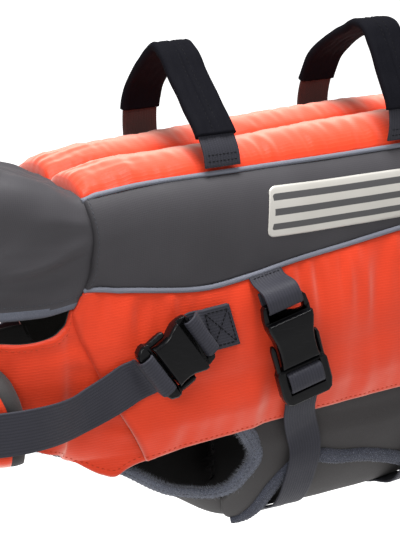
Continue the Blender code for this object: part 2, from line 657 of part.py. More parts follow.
# ---------------------------------------------------------------- chest and neck
@functools.lru_cache(maxsize=None)
def crease(v):
    """The flap's front edge at this share of the way down: distance round the wrap, and height z."""
    x = read(FLAP_FRONT, v)
    s = read(LOWER_SEAM, x) * (1 - v) + read(FLAP_EDGE, x) * v
    return wrap_t(x - GAP), float(body(x, s)[2])


def build_chest_piece(name, edges, front_t, side, first_v, lift, counts, material, collection):
    """A piece of the chest closure, from the flap's front edge round past the front middle."""
    columns, rows = counts
    outer, inner = [], []
    for i in range(columns + 1):
        u = (i / columns) ** 1.2
        top_line, low_line = [], []
        for j in range(rows + 1):
            v = j / rows
            rear_t, rear_z = crease(first_v + (1 - first_v) * v)
            t = side * rear_t * (1 - u) + front_t * u
            here, there = read(edges, t), read(edges, side * rear_t)
            z = here[0] * (1 - v) + here[1] * v
            z += (rear_z - there[0] * (1 - v) - there[1] * v) * (1 - smooth(u / 0.45))
            base = lift * smooth((0.050 - side * t) / 0.020)
            soft = 0.0012 * math.sin(math.pi * v) * math.sin(math.pi * min(max(u, 0), 1))
            top_line.append(wrap_out(t, z, base + NEOPRENE + 0.0008 + soft))
            low_line.append(wrap_out(t, z, base))
        outer.append(top_line)
        inner.append(low_line)
    return sheet(name, outer, inner, material, collection)


def collar_rear_x(s):
    """x of the edges that the collar is sewn to, at this distance round the body."""
    seam = read(TOP_SEAM, FRONT_X)
    if abs(s) <= seam:
        return FRONT_X - 2 * GAP
    corner_x, corner_s = LOWER_SEAM[3]
    if abs(s) > corner_s:
        return float(np.interp(abs(s), [row[1] for row in LOWER_SEAM[3::-1]], [row[0] for row in LOWER_SEAM[3::-1]])) - 2 * GAP
    v = (abs(s) - seam) / (corner_s - seam)
    return min(read(SIDE_PANEL_FRONT, v), WRAP_X - 0.001) - 3 * GAP


def rear_angle(s):
    reach = (WRAP_X - collar_rear_x(s)) / WRAP_LENGTH
    return math.degrees(math.asin(reach ** (1 / WRAP_POWER)))


def build_collar(material, collection):
    columns, rows = 30, 7
    outer, inner = [], []
    for i in range(columns + 1):
        a = -1 + 2 * i / columns
        s = a * HEM_S
        start, end = rear_angle(s), read(NECK_EDGE, abs(a))
        top_line, low_line = [], []
        for j in range(rows + 1):
            angle = start + (end - start) * j / rows
            over = (NEOPRENE + GAP) * smooth((angle - 58) / 20) if a < 0 else 0.0
            top_line.append(raised(neck, angle, s, -over - NEOPRENE, (0.5, 0.0006)))
            low_line.append(raised(neck, angle, s, -over, (0.5, 0.0006)))
        outer.append(top_line)
        inner.append(low_line)
    return sheet("neck_collar", outer, inner, material, collection)


def build_front_float(material, collection):
    """A rounded pad on the front of the chest."""
    columns, rows = 16, 7
    lift = 2 * (NEOPRENE + 0.0014) + 3 * GAP + 0.0018
    height = FLOAT_EDGES[0][2] - FLOAT_EDGES[-1][2]
    outer, inner = [], []
    for i in range(columns + 1):
        top_line, low_line = [], []
        for j in range(rows + 1):
            v = 0.5 - 0.5 * math.cos(math.pi * j / rows)
            half, z = read(FLOAT_EDGES, v)
            t = half * math.sin(math.pi * (i / columns - 0.5))
            ends = rounding(half - abs(t), 0.012)
            sides = rounding(min(v, 1 - v) * height, 0.010)
            top_line.append(wrap_out(t, z, lift + 0.004 + (FLOAT_THICKNESS - 0.004) * ends * sides))
            low_line.append(wrap_out(t, z, lift))
        outer.append(top_line)
        inner.append(low_line)
    return sheet("front_float", outer, inner, material, collection)


# ---------------------------------------------------------------- handles
def handle_frames(x, line, count, offset=0.0):
    flat = trace(line, count)
    points = [np.array([x, y, z]) for y, z in flat]
    centre = np.array([x, 0.0, 0.010])
    path = frames(points, [p - centre for p in points])
    return [(p + up * offset, across, up) for p, across, up in path]


def build_handle(name, x, line, material, collection):
    return webbing(name, handle_frames(x, line, HANDLE_STATIONS), material, collection)


def build_sleeve(name, x, line, span, material, collection):
    """Soft sleeve round the middle of a handle: a flat tube, open at both ends."""
    path = handle_frames(x, line, HANDLE_STATIONS)
    first, last = (int(round(share * (HANDLE_STATIONS - 1))) for share in span)
    hollow_w, hollow_t = WEBBING_WIDTH / 2 + 0.0005, WEBBING / 2 + GAP
    outer_w, outer_t = hollow_w + SLEEVE_THICKNESS * 0.6, hollow_t + SLEEVE_THICKNESS
    corners = ((-1, -1), (1, -1), (1, 1), (-1, 1))
    bm = bmesh.new()
    stations = []
    for point, across, up in path[first:last + 1]:
        middle = point + up * WEBBING / 2
        ring_out = [bm.verts.new(middle + across * outer_w * a + up * outer_t * b) for a, b in corners]
        ring_in = [bm.verts.new(middle + across * hollow_w * a + up * hollow_t * b) for a, b in corners]
        stations.append((ring_out, ring_in))
    for (out_a, in_a), (out_b, in_b) in zip(stations, stations[1:]):
        for k in range(4):
            m = (k + 1) % 4
            bm.faces.new((out_a[k], out_a[m], out_b[m], out_b[k]))
            bm.faces.new((in_a[k], in_b[k], in_b[m], in_a[m]))
    for ring_out, ring_in in (stations[0], stations[-1]):
        for k in range(4):
            m = (k + 1) % 4
            bm.faces.new((ring_out[k], ring_out[m], ring_in[m], ring_in[k]))
    return keep(name, bm, material, collection)


# ---------------------------------------------------------------- buckles
def outline_solid(name, outline, low, high, material, collection):
    """A plate with a symmetric outline of (distance along, half width), from low to high."""
    ring = [(a, w) for a, w in outline] + [(a, -w) for a, w in reversed(outline)]
    bm = bmesh.new()
    face = bm.faces.new([bm.verts.new((a, w, low)) for a, w in ring])
    grown = bmesh.ops.extrude_face_region(bm, geom=[face])
    moved = [v for v in grown["geom"] if isinstance(v, bmesh.types.BMVert)]
    bmesh.ops.translate(bm, verts=moved, vec=(0, 0, high - low))
    edges = [e for e in bm.edges if abs(e.verts[0].co.z - e.verts[1].co.z) < 1e-6]
    bmesh.ops.bevel(bm, geom=edges, offset=0.0012, segments=1, affect="EDGES")
    return keep(name, bm, material, collection)


def box_tool(name, low, high, cutters):
    bpy.ops.mesh.primitive_cube_add(size=1, location=(np.array(low) + np.array(high)) / 2)
    tool = bpy.context.object
    tool.name = name
    tool.scale = np.array(high) - np.array(low)
    for collection in list(tool.users_collection):
        collection.objects.unlink(tool)
    cutters.objects.link(tool)
    tool.hide_render = True
    tool.display_type = "WIRE"
    return tool


def combine(obj, tool, operation):
    modifier = obj.modifiers.new(tool.name, "BOOLEAN")
    modifier.operation = operation
    modifier.solver = "EXACT"
    modifier.object = tool
    tool.parent = obj
    return modifier


def build_female(name, material, collection, cutters):
    """The half with the socket: a frame with a bar for its tab, and a hollow body."""
    thick = BUCKLE_THICKNESS
    female = outline_solid(name, FEMALE_OUTLINE, 0.0, thick, material, collection)
    slot = box_tool(name + "_slot", (FEMALE_SLOT[0], -0.0131, -0.01), (FEMALE_SLOT[1], 0.0131, thick + 0.01), cutters)
    combine(female, slot, "DIFFERENCE")
    mouth = box_tool(name + "_mouth", (0.0260, -0.0108, 0.0022), (0.0500, 0.0108, thick - 0.0022), cutters)
    combine(female, mouth, "DIFFERENCE")
    thin = box_tool(name + "_thin", (-0.001, -0.0200, 0.0060), (0.0120, 0.0200, thick + 0.01), cutters)
    combine(female, thin, "DIFFERENCE")
    return female


def build_male(name, base, slots, material, collection, cutters):
    """The half with the prongs: a base with bars for the strap, two side arms and a middle guide."""
    start, end = base
    outline = ((start, 0.0170), (start + 0.003, 0.0186), (end - 0.008, 0.0188), (end - 0.002, 0.0170), (end, 0.0140))
    male = outline_solid(name, outline, 0.0010, 0.0090, material, collection)
    for side in (-1, 1):
        arm = outline_solid(
            f"{name}_arm_{'lr'[side > 0]}",
            ((0.0275, 0.0009), (0.0305, 0.0018), (0.0380, 0.0019), (start + 0.002, 0.0016)),
            0.0028, 0.0078, material, cutters)
        arm.location = (0, side * 0.0162, 0)
        arm.hide_render = True
        arm.display_type = "WIRE"
        combine(male, arm, "UNION")
    guide = box_tool(name + "_guide", (0.0290, -0.0030, 0.0040), (start + 0.001, 0.0030, 0.0066), cutters)
    combine(male, guide, "UNION")
    for number, (low, high) in enumerate(slots):
        slot = box_tool(f"{name}_slot_{number}", (low, -0.0131, -0.01), (high, 0.0131, 0.02), cutters)
        combine(male, slot, "DIFFERENCE")
    return male


def buckle_matrix(start, end, outward_hint, scale=(1.0, 1.0)):
    """Placement of a buckle whose bar end is at start and whose strap leaves it at end."""
    along = Vector(end - start).normalized()
    up = Vector(outward_hint)
    up = (up - along * up.dot(along)).normalized()
    across = up.cross(along)
    basis = Matrix((along * scale[0], across * scale[1], up)).transposed().to_4x4()
    return Matrix.Translation(Vector(start)) @ basis


def buckle_path(matrix, rows):
    """Frames of webbing that follows a buckle: rows of (distance along, height of its lower face)."""
    points = [np.array(matrix @ Vector((a, 0.0, h))) for a, h in rows]
    across = np.array((matrix.to_3x3() @ Vector((0, 1, 0))).normalized())
    found = []
    for i, point in enumerate(points):
        ahead = points[min(i + 1, len(points) - 1)] - points[max(i - 1, 0)]
        ahead /= np.linalg.norm(ahead)
        found.append((point, across, np.cross(ahead, across)))
    return found


def build_buckle(name, matrix, base, slots, material, collection, cutters):
    female = build_female(f"{name}_socket", material, collection, cutters)
    male = build_male(f"{name}_prongs", base, slots, material, collection, cutters)
    female.matrix_world = matrix
    male.matrix_world = matrix


def body_strap(rows, side, count):
    """Frames of a strap over the body: rows of x, s, height of its lower face."""
    points, ups = [], []
    for x, s, height in trace(rows, count):
        here = raised(body, x, side * s, height)
        points.append(here)
        ups.append(raised(body, x, side * s, height + 0.001) - here)
    return frames(points, ups)


def facing(path, across):
    """The same frames, turned so that their across vectors run this way."""
    return [(p, a if np.dot(a, across) > 0 else -a, u) for p, a, u in path]


# ---------------------------------------------------------------- girth and neck straps
def build_girth_set(name, seam_x, start_x, end_x, materials, collection, cutters):
    """Tab, buckle and strap of one girth band; the strap runs under the belly to the right side's seam."""
    top_s = read(LOWER_SEAM, seam_x)
    start_s = top_s + 0.0150
    end_s = start_s + BUCKLE_LENGTH * GIRTH_BUCKLE_SCALE[0] * 0.935
    rest = max(flap_outer(start_x, start_s), flap_outer(end_x, end_s), flap_outer(end_x, (start_s + end_s) / 2))
    rest += 2 * WEBBING + 4 * GAP + 0.0006
    start = raised(body, start_x, -start_s, rest)
    end = raised(body, end_x, -end_s, rest + 0.0020)
    hint = raised(body, end_x, -(start_s + end_s) / 2, 0.02) - body(end_x, -(start_s + end_s) / 2)
    hint[0] -= math.tan(math.radians(GIRTH_BUCKLE_TURN)) * 0.02
    matrix = buckle_matrix(start, end, hint, GIRTH_BUCKLE_SCALE)
    build_buckle(f"girth_buckle_{name}", matrix, MALE_BASE, MALE_SLOTS, materials["buckle"], collection, cutters)
    build_girth_tab(name, seam_x, top_s, matrix, materials["web"], collection)
    build_girth_strap(name, end_x, end_s, matrix, materials["web"], collection)


def build_girth_tab(name, seam_x, top_s, matrix, material, collection):
    """Short webbing from the seam round the buckle's bar."""
    loop = buckle_path(matrix, TAB_LOOP)
    root_s = top_s + 0.0030
    root = raised(body, seam_x, -root_s, flap_outer(seam_x, root_s) + WEBBING + 2 * GAP)
    seam = body(seam_x + 0.01, -read(LOWER_SEAM, seam_x + 0.01)) - body(seam_x - 0.01, -read(LOWER_SEAM, seam_x - 0.01))
    seam *= math.copysign(1, np.dot(seam, loop[0][1])) / np.linalg.norm(seam)
    up = raised(body, seam_x, -root_s, 0.01) - body(seam_x, -root_s)
    path = [(root, seam, up / np.linalg.norm(up))] + loop
    return webbing(f"girth_tab_{name}", path, material, collection, GIRTH_WEBBING)


def strap_place(run, x, s):
    """x and height of a girth strap at this distance down the body, from the flap round to the keel."""
    under_x, on_wing = read(run, girth(x) / 2 - s)
    edge = read(FLAP_EDGE, x)
    on_flap = max(flap_outer(x + step, min(s, edge)) for step in (-0.0125, 0.0, 0.0125)) + 7 * GAP
    return under_x, on_flap + (on_wing - on_flap) * smooth((s - edge + 0.002) / 0.016)


def build_girth_strap(name, end_x, end_s, matrix, material, collection):
    loop = buckle_path(matrix, MALE_STRAP)
    run = STRAP_RUNS[name]
    far_x = run[-1][1]
    half = girth(far_x) / 2
    start_s = end_s + 0.006
    rows = []
    for share in np.linspace(0, 1, 61):
        s = start_s + (2 * half - read(LOWER_SEAM, far_x) - 0.0045 - start_s) * share
        under_x, height = strap_place(run, far_x, s if s <= half else 2 * half - s)
        x = end_x + (under_x - end_x) * smooth(share / 0.12)
        rows.append((x, s, height))
    path = facing(body_strap(rows, -1, 56), loop[0][1])
    return webbing(f"girth_strap_{name}", loop + path, material, collection, GIRTH_WEBBING)


def flank_place(x, z):
    """A place of the left side at this height: x, s and the height of the flap's outer face there."""
    s = side_distance(x, z)
    return x, -s, flap_outer(x, s)


def build_neck_set(materials, collection, cutters):
    """Neck closure: a tab sewn to the left flap, a buckle, and a strap round the chest to the right flap."""
    (start_x, start_z), (end_x, end_z) = NECK_BUCKLE_ENDS
    places = [flank_place(start_x, start_z), flank_place(end_x, end_z)]
    rest = max(p[2] for p in places) + 2 * WEBBING + 4 * GAP + 0.0006
    start, end = (raised(body, x, s, rest) for x, s, h in places)
    middle = ((start_x + end_x) / 2, (places[0][1] + places[1][1]) / 2)
    hint = raised(body, *middle, 0.02) - body(*middle)
    matrix = buckle_matrix(start, end, hint, NECK_BUCKLE_SCALE)
    build_buckle("neck_buckle", matrix, NECK_MALE_BASE, MALE_SLOTS[:1], materials["buckle"], collection, cutters)
    build_neck_tab(matrix, materials["web"], collection)
    build_neck_strap(matrix, materials["web"], collection)


def build_neck_tab(matrix, material, collection):
    """Webbing folded round the socket's bar, its two ends sewn down one on the other."""
    loop = buckle_path(matrix, TAB_LOOP)
    layers = []
    for lift in (0.0010 + WEBBING + GAP, 0.0010):
        line = []
        for share in (0.0, 0.33, 0.66, 1.0):
            x = NECK_PATCH[0][0] * (1 - share) + NECK_PATCH[1][0] * share
            z = NECK_PATCH[0][1] * (1 - share) + NECK_PATCH[1][1] * share
            x, s, height = flank_place(x, z)
            here = raised(body, x, s, height + lift)
            up = raised(body, x, s, height + lift + 0.001) - here
            tilt = math.radians(NECK_PATCH_TILT)
            across = np.array([math.sin(tilt), 0.0, -math.cos(tilt)])
            across -= up * np.dot(up, across) / np.dot(up, up)
            across *= math.copysign(1, np.dot(across, loop[0][1])) / np.linalg.norm(across)
            line.append((here, across, up / np.linalg.norm(up)))
        layers.append(line)
    lower = [(p, a, -u) for p, a, u in reversed([(q + v * WEBBING, b, v) for q, b, v in layers[1]])]
    return webbing("neck_tab", layers[0] + loop[:-1] + lower, material, collection, NECK_WEBBING)


def build_neck_strap(matrix, material, collection):
    loop = buckle_path(matrix, MALE_STRAP)
    rows = []
    for t, z, height in trace(NECK_STRAP, 52):
        here = wrap_out(t, z, height)
        rows.append([*here, *(wrap_out(t, z, height + 0.001) - here)])
    rows = np.array(rows)
    for _ in range(4):
        rows[1:-1] = (rows[:-2] + 2 * rows[1:-1] + rows[2:]) / 4
    path = facing(frames(rows[:, :3], rows[:, 3:]), loop[0][1])
    return webbing("neck_strap", loop + path, material, collection, NECK_WEBBING)


# ---------------------------------------------------------------- the jacket
def main():
    for obj in list(bpy.data.objects):
        bpy.data.objects.remove(obj, do_unlink=True)
    collection = bpy.data.collections.new("dog_life_jacket")
    cutters = bpy.data.collections.new("cutters")
    bpy.context.scene.collection.children.link(collection)
    bpy.context.scene.collection.children.link(cutters)
    orange = new_material("orange_ripstop", ORANGE, 0.65)
    grey = new_material("grey_shell", GREY, 0.70)
    lining = new_material("neoprene", LINING, 0.80)
    piping = new_material("reflective_piping", PIPING, 0.40)
    fuzz = new_material("brushed_binding", FUZZ, 0.95)
    web = new_material("webbing", WEB, 0.75)
    sleeve = new_material("sleeve_neoprene", BLACK, 0.85)
    plastic = new_material("buckle_acetal", BLACK, 0.30)
    materials = {"web": web, "buckle": plastic}

    build_back_pad(orange, collection)
    for name, side in (("left", -1), ("right", 1)):
        build_side_panel(f"side_panel_{name}", side, grey, collection)
        build_side_flap(f"side_flap_{name}", side, orange, collection)
        build_piping(f"piping_top_{name}", TOP_SEAM, FRONT_X + 0.0040, side, piping, collection)
        build_piping(f"piping_lower_{name}", LOWER_SEAM, -0.1600, side, piping, collection)
        build_wing(f"belly_wing_{name}", side, lining, collection)
        build_leg_binding(f"leg_binding_{name}", side, fuzz, collection)
        build_wing_binding(f"wing_binding_{name}", side, fuzz, collection)
    build_belly_panel(lining, collection)
    build_chest_piece("chest_bib", BIB_EDGES, BIB_FRONT_T, -1, 0.0, NEOPRENE + 0.0026, (24, 8), orange, collection)
    build_chest_piece("chest_tab", TAB_EDGES, -0.034, 1, 0.42, 0.0, (16, 5), orange, collection)
    build_collar(grey, collection)
    build_front_float(orange, collection)
    for name, (x, line) in HANDLES.items():
        build_handle(f"handle_{name}", x, line, web, collection)
        build_sleeve(f"handle_sleeve_{name}", x, line, SLEEVE_SPANS[name], sleeve, collection)
    for name, (seam_x, start_x, end_x) in GIRTH_STRAPS.items():
        build_girth_set(name, seam_x, start_x, end_x, materials, collection, cutters)
    build_neck_set(materials, collection, cutters)
    bpy.context.view_layer.update()


main()
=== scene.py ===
# %% [markdown]
# # A dog life jacket, sewn piece by piece
# The jacket stands filled out as if a dog wore it. The plain solids of the frame give every piece its place,
# and this lesson makes the cloth, foam, webbing and thread that a maker would put there. A sewn thing is easiest
# to model the way it is cut: each piece is a grid of points on one smooth body form, so neighbours share their
# seams, and padding, puckers and hems are only heights over that form.

from functools import cache
from math import asin, copysign, cos, degrees, pi, radians, sin, sqrt, tan

import bpy
import numpy as np
from mathutils import Matrix, Vector, noise
from numpy.linalg import norm


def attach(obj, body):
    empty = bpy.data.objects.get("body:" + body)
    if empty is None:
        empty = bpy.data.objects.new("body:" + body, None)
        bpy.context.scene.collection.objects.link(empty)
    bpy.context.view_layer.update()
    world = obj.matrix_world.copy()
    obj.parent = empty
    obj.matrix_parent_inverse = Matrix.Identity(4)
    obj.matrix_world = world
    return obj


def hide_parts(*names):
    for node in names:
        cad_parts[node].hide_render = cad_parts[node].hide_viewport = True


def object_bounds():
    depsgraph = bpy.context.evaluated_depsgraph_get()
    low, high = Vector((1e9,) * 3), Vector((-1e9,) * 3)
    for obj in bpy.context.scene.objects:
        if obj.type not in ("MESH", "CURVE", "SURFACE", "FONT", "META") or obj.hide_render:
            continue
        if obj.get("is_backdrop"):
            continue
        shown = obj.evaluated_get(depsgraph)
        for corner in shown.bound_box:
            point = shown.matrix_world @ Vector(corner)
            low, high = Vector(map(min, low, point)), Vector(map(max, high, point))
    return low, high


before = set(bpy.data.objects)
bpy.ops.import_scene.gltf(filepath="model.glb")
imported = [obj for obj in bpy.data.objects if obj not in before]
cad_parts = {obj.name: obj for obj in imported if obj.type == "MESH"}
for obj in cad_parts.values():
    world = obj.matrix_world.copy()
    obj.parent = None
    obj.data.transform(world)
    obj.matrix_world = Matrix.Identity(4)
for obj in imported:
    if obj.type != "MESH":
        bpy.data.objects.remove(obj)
cad_low, cad_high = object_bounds()
FINE = 0.0013
print("frame holds", len(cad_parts), "solids, in a box of", [round(v, 3) for v in cad_high - cad_low], "m")

# %% [markdown]
# ## The sizes that drive everything
# A maker starts from a size chart. Here it is the webbing's width and the thickness of each layer, in metres.
# X runs from the neck to the tail, the wearer's left is -Y, and Z is up. The origin is on the wearer's back.

# %% Layers and trims
GAP = 0.0003
WEBBING_WIDTH = 0.025
WEBBING = 0.0016
PIPING_RADIUS = 0.0016
BINDING_WIDTH = 0.011
BINDING_THICKNESS = 0.0058
WING_LIFT = 0.0034
NEOPRENE = 0.0025
SEAM_HEIGHT = 0.0043
REAR_X = 0.157
FRONT_X = -0.159
# The least cloth that a drawn-in fill leaves, and the depth of a hem's row of stitches from its edge
LEAST_CLOTH = 0.0012
HEM_STITCHES = 0.0045

# %% [markdown]
# ## The body inside
# Tailors drape on a form. This one is a table of cross sections from neck to hip: the top line, then shoulder,
# rib, flank, hip and belly on one side, and the keel. The other side mirrors it. Short tables are better than
# sculpting here, because every piece can read the same curve.

# %% Body form and seam lines
# Body form: x, top z, then y and z of the shoulder, rib, flank, hip and belly lines, then the keel z
SECTIONS = (
    (-0.176, -0.004, 0.042, -0.008, 0.045, -0.05, 0.0465, -0.1, 0.045, -0.138, 0.0385, -0.16, -0.172),
    (-0.158, -0.006, 0.043, -0.0085, 0.045, -0.053, 0.0475, -0.106, 0.047, -0.142, 0.043, -0.165, -0.183),
    (-0.125, -0.002, 0.0445, -0.006, 0.0515, -0.057, 0.054, -0.112, 0.0505, -0.15, 0.0465, -0.173, -0.196),
    (-0.08, -0.0007, 0.0455, -0.005, 0.0565, -0.058, 0.06, -0.114, 0.054, -0.158, 0.046, -0.189, -0.221),
    (-0.04, -0.0002, 0.0459, -0.0048, 0.0585, -0.057, 0.062, -0.113, 0.055, -0.16, 0.045, -0.199, -0.2445),
    (0.0, 0.0, 0.046, -0.0047, 0.059, -0.055, 0.0625, -0.112, 0.0555, -0.16, 0.046, -0.2, -0.2462),
    (0.08, 0.0024, 0.046, -0.0035, 0.0585, -0.05, 0.062, -0.11, 0.055, -0.158, 0.0455, -0.199, -0.2465),
    (0.16, 0.0035, 0.045, -0.003, 0.056, -0.046, 0.0585, -0.107, 0.052, -0.154, 0.043, -0.193, -0.2385),
)

# Seams round the body: x, s
TOP_SEAM = ((-0.16, 0.0432), (-0.135, 0.0442), (-0.084, 0.0457), (0.0, 0.0463), (0.08, 0.0467), (0.158, 0.0455))
LOWER_SEAM = (
    (-0.174, 0.116), (-0.17, 0.111), (-0.165, 0.1035), (-0.161, 0.0985), (-0.156, 0.0975), (-0.138, 0.1018),
    (-0.113, 0.1078), (-0.085, 0.1116), (-0.056, 0.1092), (-0.021, 0.1038), (0.017, 0.0998), (0.056, 0.096),
    (0.158, 0.0915),
)
FLAP_EDGE = (
    (-0.13, 0.2138), (-0.115, 0.2122), (-0.095, 0.2104), (-0.068, 0.209), (0.0, 0.2056), (0.063, 0.2043),
    (0.158, 0.203),
)
# Front ends of the pieces: share of the way down the piece, x
SIDE_PANEL_FRONT = ((0.0, -0.1588), (0.1, -0.1585), (0.38, -0.1556), (0.65, -0.1556), (0.82, -0.1563), (1.0, -0.16))
FLAP_FRONT = ((0.0, -0.17), (0.22, -0.1648), (0.457, -0.1546), (0.746, -0.137), (1.0, -0.1232))

# %% [markdown]
# ## Smooth curves from short tables
# A Hermite curve passes through every row of a table with no overshoot to speak of, so a handful of numbers
# reads like a flexible ruler. The slopes are worked out once for each table and kept.

# %% Reading the tables
def smooth(t):
    """0 to 1 with level ends."""
    t = min(max(t, 0.0), 1.0)
    return t * t * (3 - 2 * t)


def fade(value, start, length):
    """0 up to start, 1 from a length later, with level ends between."""
    return smooth((value - start) / length)


def mix(first, second, share):
    return first * (1 - share) + second * share


def hermite(t, step, start, end, start_slope, end_slope):
    """The cubic between two values with these slopes, at a share t of the step from one to the other."""
    leaving = (2 * t**3 - 3 * t**2 + 1) * start + (t**3 - 2 * t**2 + t) * step * start_slope
    arriving = (3 * t**2 - 2 * t**3) * end + (t**3 - t**2) * step * end_slope
    return leaving + arriving


@cache
def curve_of(rows):
    table = np.array(rows, float)
    return table[:, 0], table[:, 1:], np.gradient(table[:, 1:], table[:, 0], axis=0)


def read(rows, key):
    """The other columns of a short table at this key, on smooth curves through its rows."""
    keys, values, slopes = curve_of(rows)
    key = min(max(key, keys[0]), keys[-1])
    i = int(min(max(np.searchsorted(keys, key) - 1, 0), len(keys) - 2))
    step = keys[i + 1] - keys[i]
    found = hermite((key - keys[i]) / step, step, values[i], values[i + 1], slopes[i], slopes[i + 1])
    return float(found[0]) if len(found) == 1 else found


def run_along(points):
    """Running length along a line of points, from 0 at the first."""
    return np.concatenate([[0], np.cumsum(norm(np.diff(points, axis=0), axis=1))])


def trace(points, count):
    """A smooth curve through these points, as evenly spaced points along it."""
    points = np.array(points, float)
    chords = run_along(points)
    rows = tuple(map(tuple, np.column_stack([chords, points])))
    fine = np.array([read(rows, c) for c in np.linspace(0, chords[-1], 12 * count)])
    lengths = run_along(fine)
    even = np.linspace(0, lengths[-1], count)
    return np.column_stack([np.interp(even, lengths, column) for column in fine.T])


# %% [markdown]
# ## Points on the form
# A place on the form is (x, s): x along the back, and s the distance round the body from the middle of the back.
# Working in s keeps cloth the size it was cut, because a tape measure round the dog reads the same numbers.

# %% The form's cross sections
# Points of the spline between two rows' places, and the step of a surface over which its normal is measured
SPLINE_PIECES = 20
NORMAL_STEP = (0.0008, 0.0006)


def closed_spline(points, pieces):
    count = len(points)
    spans = norm(np.roll(points, -1, axis=0) - points, axis=1)
    matrix = np.zeros((count, count))
    right = np.zeros(points.shape)
    for i in range(count):
        before, after, nxt = spans[i - 1], spans[i], (i + 1) % count
        matrix[i, i - 1], matrix[i, i], matrix[i, nxt] = after, 2 * (before + after), before
        right[i] = 3 * (after * (points[i] - points[i - 1]) / before + before * (points[nxt] - points[i]) / after)
    slopes = np.linalg.solve(matrix, right)
    t = (np.arange(pieces) / pieces)[:, None]
    curve = []
    for i in range(count):
        nxt = (i + 1) % count
        curve.append(hermite(t, spans[i], points[i], points[nxt], slopes[i], slopes[nxt]))
    return np.vstack(curve)


@cache
def section(x):
    """The form's outline at x: distances round it from the top, and y, z there."""
    top, sy, sz, ry, rz, fy, fz, hy, hz, by, bz, keel = read(SECTIONS, x)
    half = [(0, top), (0.55 * sy, top - 0.12 * (top - sz)), (sy, sz), (ry, rz), (fy, fz), (hy, hz), (by, bz), (0, keel)]
    points = np.array(half + [(-y, z) for y, z in half[-2:0:-1]])
    curve = closed_spline(points, SPLINE_PIECES)
    curve = np.vstack([curve, curve[:1]])
    around = run_along(curve)
    return around, curve


def girth(x):
    return section(round(x, 4))[0][-1]


def body(x, s):
    around, curve = section(round(x, 4))
    s = s % around[-1]
    return np.array([x, np.interp(s, around, curve[:, 0]), np.interp(s, around, curve[:, 1])])


def side_distance(x, z):
    """The distance s at which the form's right side reaches this height."""
    around, curve = section(round(x, 4))
    half = len(around) // 2
    shoulder = int(0.22 * half)
    return float(np.interp(-z, -curve[shoulder:half, 1], around[shoulder:half]))


def raised(surface, a, b, height):
    """The point of a surface at (a, b), moved out by height along its normal."""
    step_a, step_b = NORMAL_STEP
    along = surface(a + step_a, b) - surface(a - step_a, b)
    across = surface(a, b + step_b) - surface(a, b - step_b)
    normal = np.cross(along, across)
    normal /= norm(normal)
    return surface(a, b) + normal * height


def stood_off(surface, a, b, height, step=0.001):
    """The point this high over a surface at (a, b), and the step from there to one a little higher."""
    here = raised(surface, a, b, height)
    return here, raised(surface, a, b, height + step) - here


# %% [markdown]
# ## The chest and the neck
# Under the neck the jacket closes round a blunt nose, and the collar stands forward from the shoulders. Both are
# simple forms of their own that melt into the body form behind them, so the seams between them stay shut.

# %% Chest wrap and neck form
# Wing of the belly band: share down the front edge, x; and share along the lower edge, x, distance from the keel
WING_TOP_S = 0.196
WING_TOP_X = (-0.07, 0.118)
WING_FRONT = (
    (0.0, -0.07), (0.21, -0.06), (0.3, -0.055), (0.43, -0.0478), (0.52, -0.0472), (0.6, -0.05),
    (0.75, -0.057), (1.0, -0.063),
)
WING_EDGE = (
    (0.0, -0.063, 0.034), (0.08, -0.051, 0.014), (0.16, -0.037, 0.008), (0.22, -0.028, 0.015),
    (0.28, -0.0232, 0.033), (0.34, -0.02, 0.052), (0.4, -0.012, 0.065), (0.48, -0.0005, 0.069),
    (0.6, 0.0208, 0.064), (0.7, 0.0431, 0.06), (0.81, 0.0703, 0.049), (0.88, 0.0856, 0.04),
    (1.0, 0.118, 0.026),
)
# Belly panel: x, half width round the keel, edge to edge of its binding
BELLY_WIDTH = (
    (-0.244, 0.021), (-0.215, 0.027), (-0.18, 0.0325), (-0.15, 0.0365), (-0.122, 0.0392), (-0.105, 0.0407),
    (-0.09, 0.0412), (-0.075, 0.0402), (-0.0663, 0.0424), (-0.0563, 0.0495), (-0.05, 0.0585), (-0.045, 0.068),
    (-0.034, 0.076), (0.0, 0.079), (0.06, 0.074), (0.118, 0.06),
)
# Chest under the neck: x, keel z
KEEL = (
    (-0.244, -0.148), (-0.215, -0.15), (-0.178, -0.164), (-0.158, -0.172), (-0.139, -0.181), (-0.125, -0.1885),
    (-0.114, -0.197), (-0.1, -0.206), (-0.091, -0.213), (-0.08, -0.2215), (-0.05, -0.238),
)
# Tongue: width of its turned-up edge, that edge's radius, how much its middle bows, and where it joins the body form
TONGUE_EDGE = 0.011
TONGUE_TURN = 0.0095
TONGUE_BOW = 1.6
TONGUE_BLEND = (-0.106, 0.038)

# Chest wrap: a level, rounded nose in plan, its straight tail, and the distance round it at which it joins the body
WRAP_X = -0.15
WRAP_LENGTH = 0.094
WRAP_HALF = 0.05
WRAP_POWER = 2.0 / 2.4
WRAP_TAIL = (0.11, 0.01)
WRAP_BLEND = (0.08, 0.018)
WALL_LOW_Z = -0.168
# Chest bib: distance t round the wrap from the front middle (left is negative), top z, bottom z
BIB_EDGES = (
    (-0.15, -0.075, -0.175), (-0.144, -0.075, -0.1758), (-0.1342, -0.075, -0.179), (-0.1292, -0.075, -0.1818),
    (-0.1202, -0.075, -0.1795), (-0.1061, -0.0757, -0.1712), (-0.1, -0.0765, -0.1674), (-0.0975, -0.083, -0.1658),
    (-0.0925, -0.087, -0.1628), (-0.0809, -0.0895, -0.1572), (-0.0712, -0.0893, -0.1532), (-0.056, -0.0865, -0.151),
    (0.0, -0.086, -0.151), (0.04, -0.09, -0.151),
)
BIB_FRONT_T = 0.03
TAB_FRONT_T = -0.034
TAB_EDGES = (
    (-0.034, -0.102, -0.151), (0.0, -0.104, -0.151), (0.04, -0.111, -0.154), (0.08, -0.12, -0.162),
    (0.105, -0.127, -0.1715), (0.128, -0.13, -0.179), (0.15, -0.13, -0.179),
)
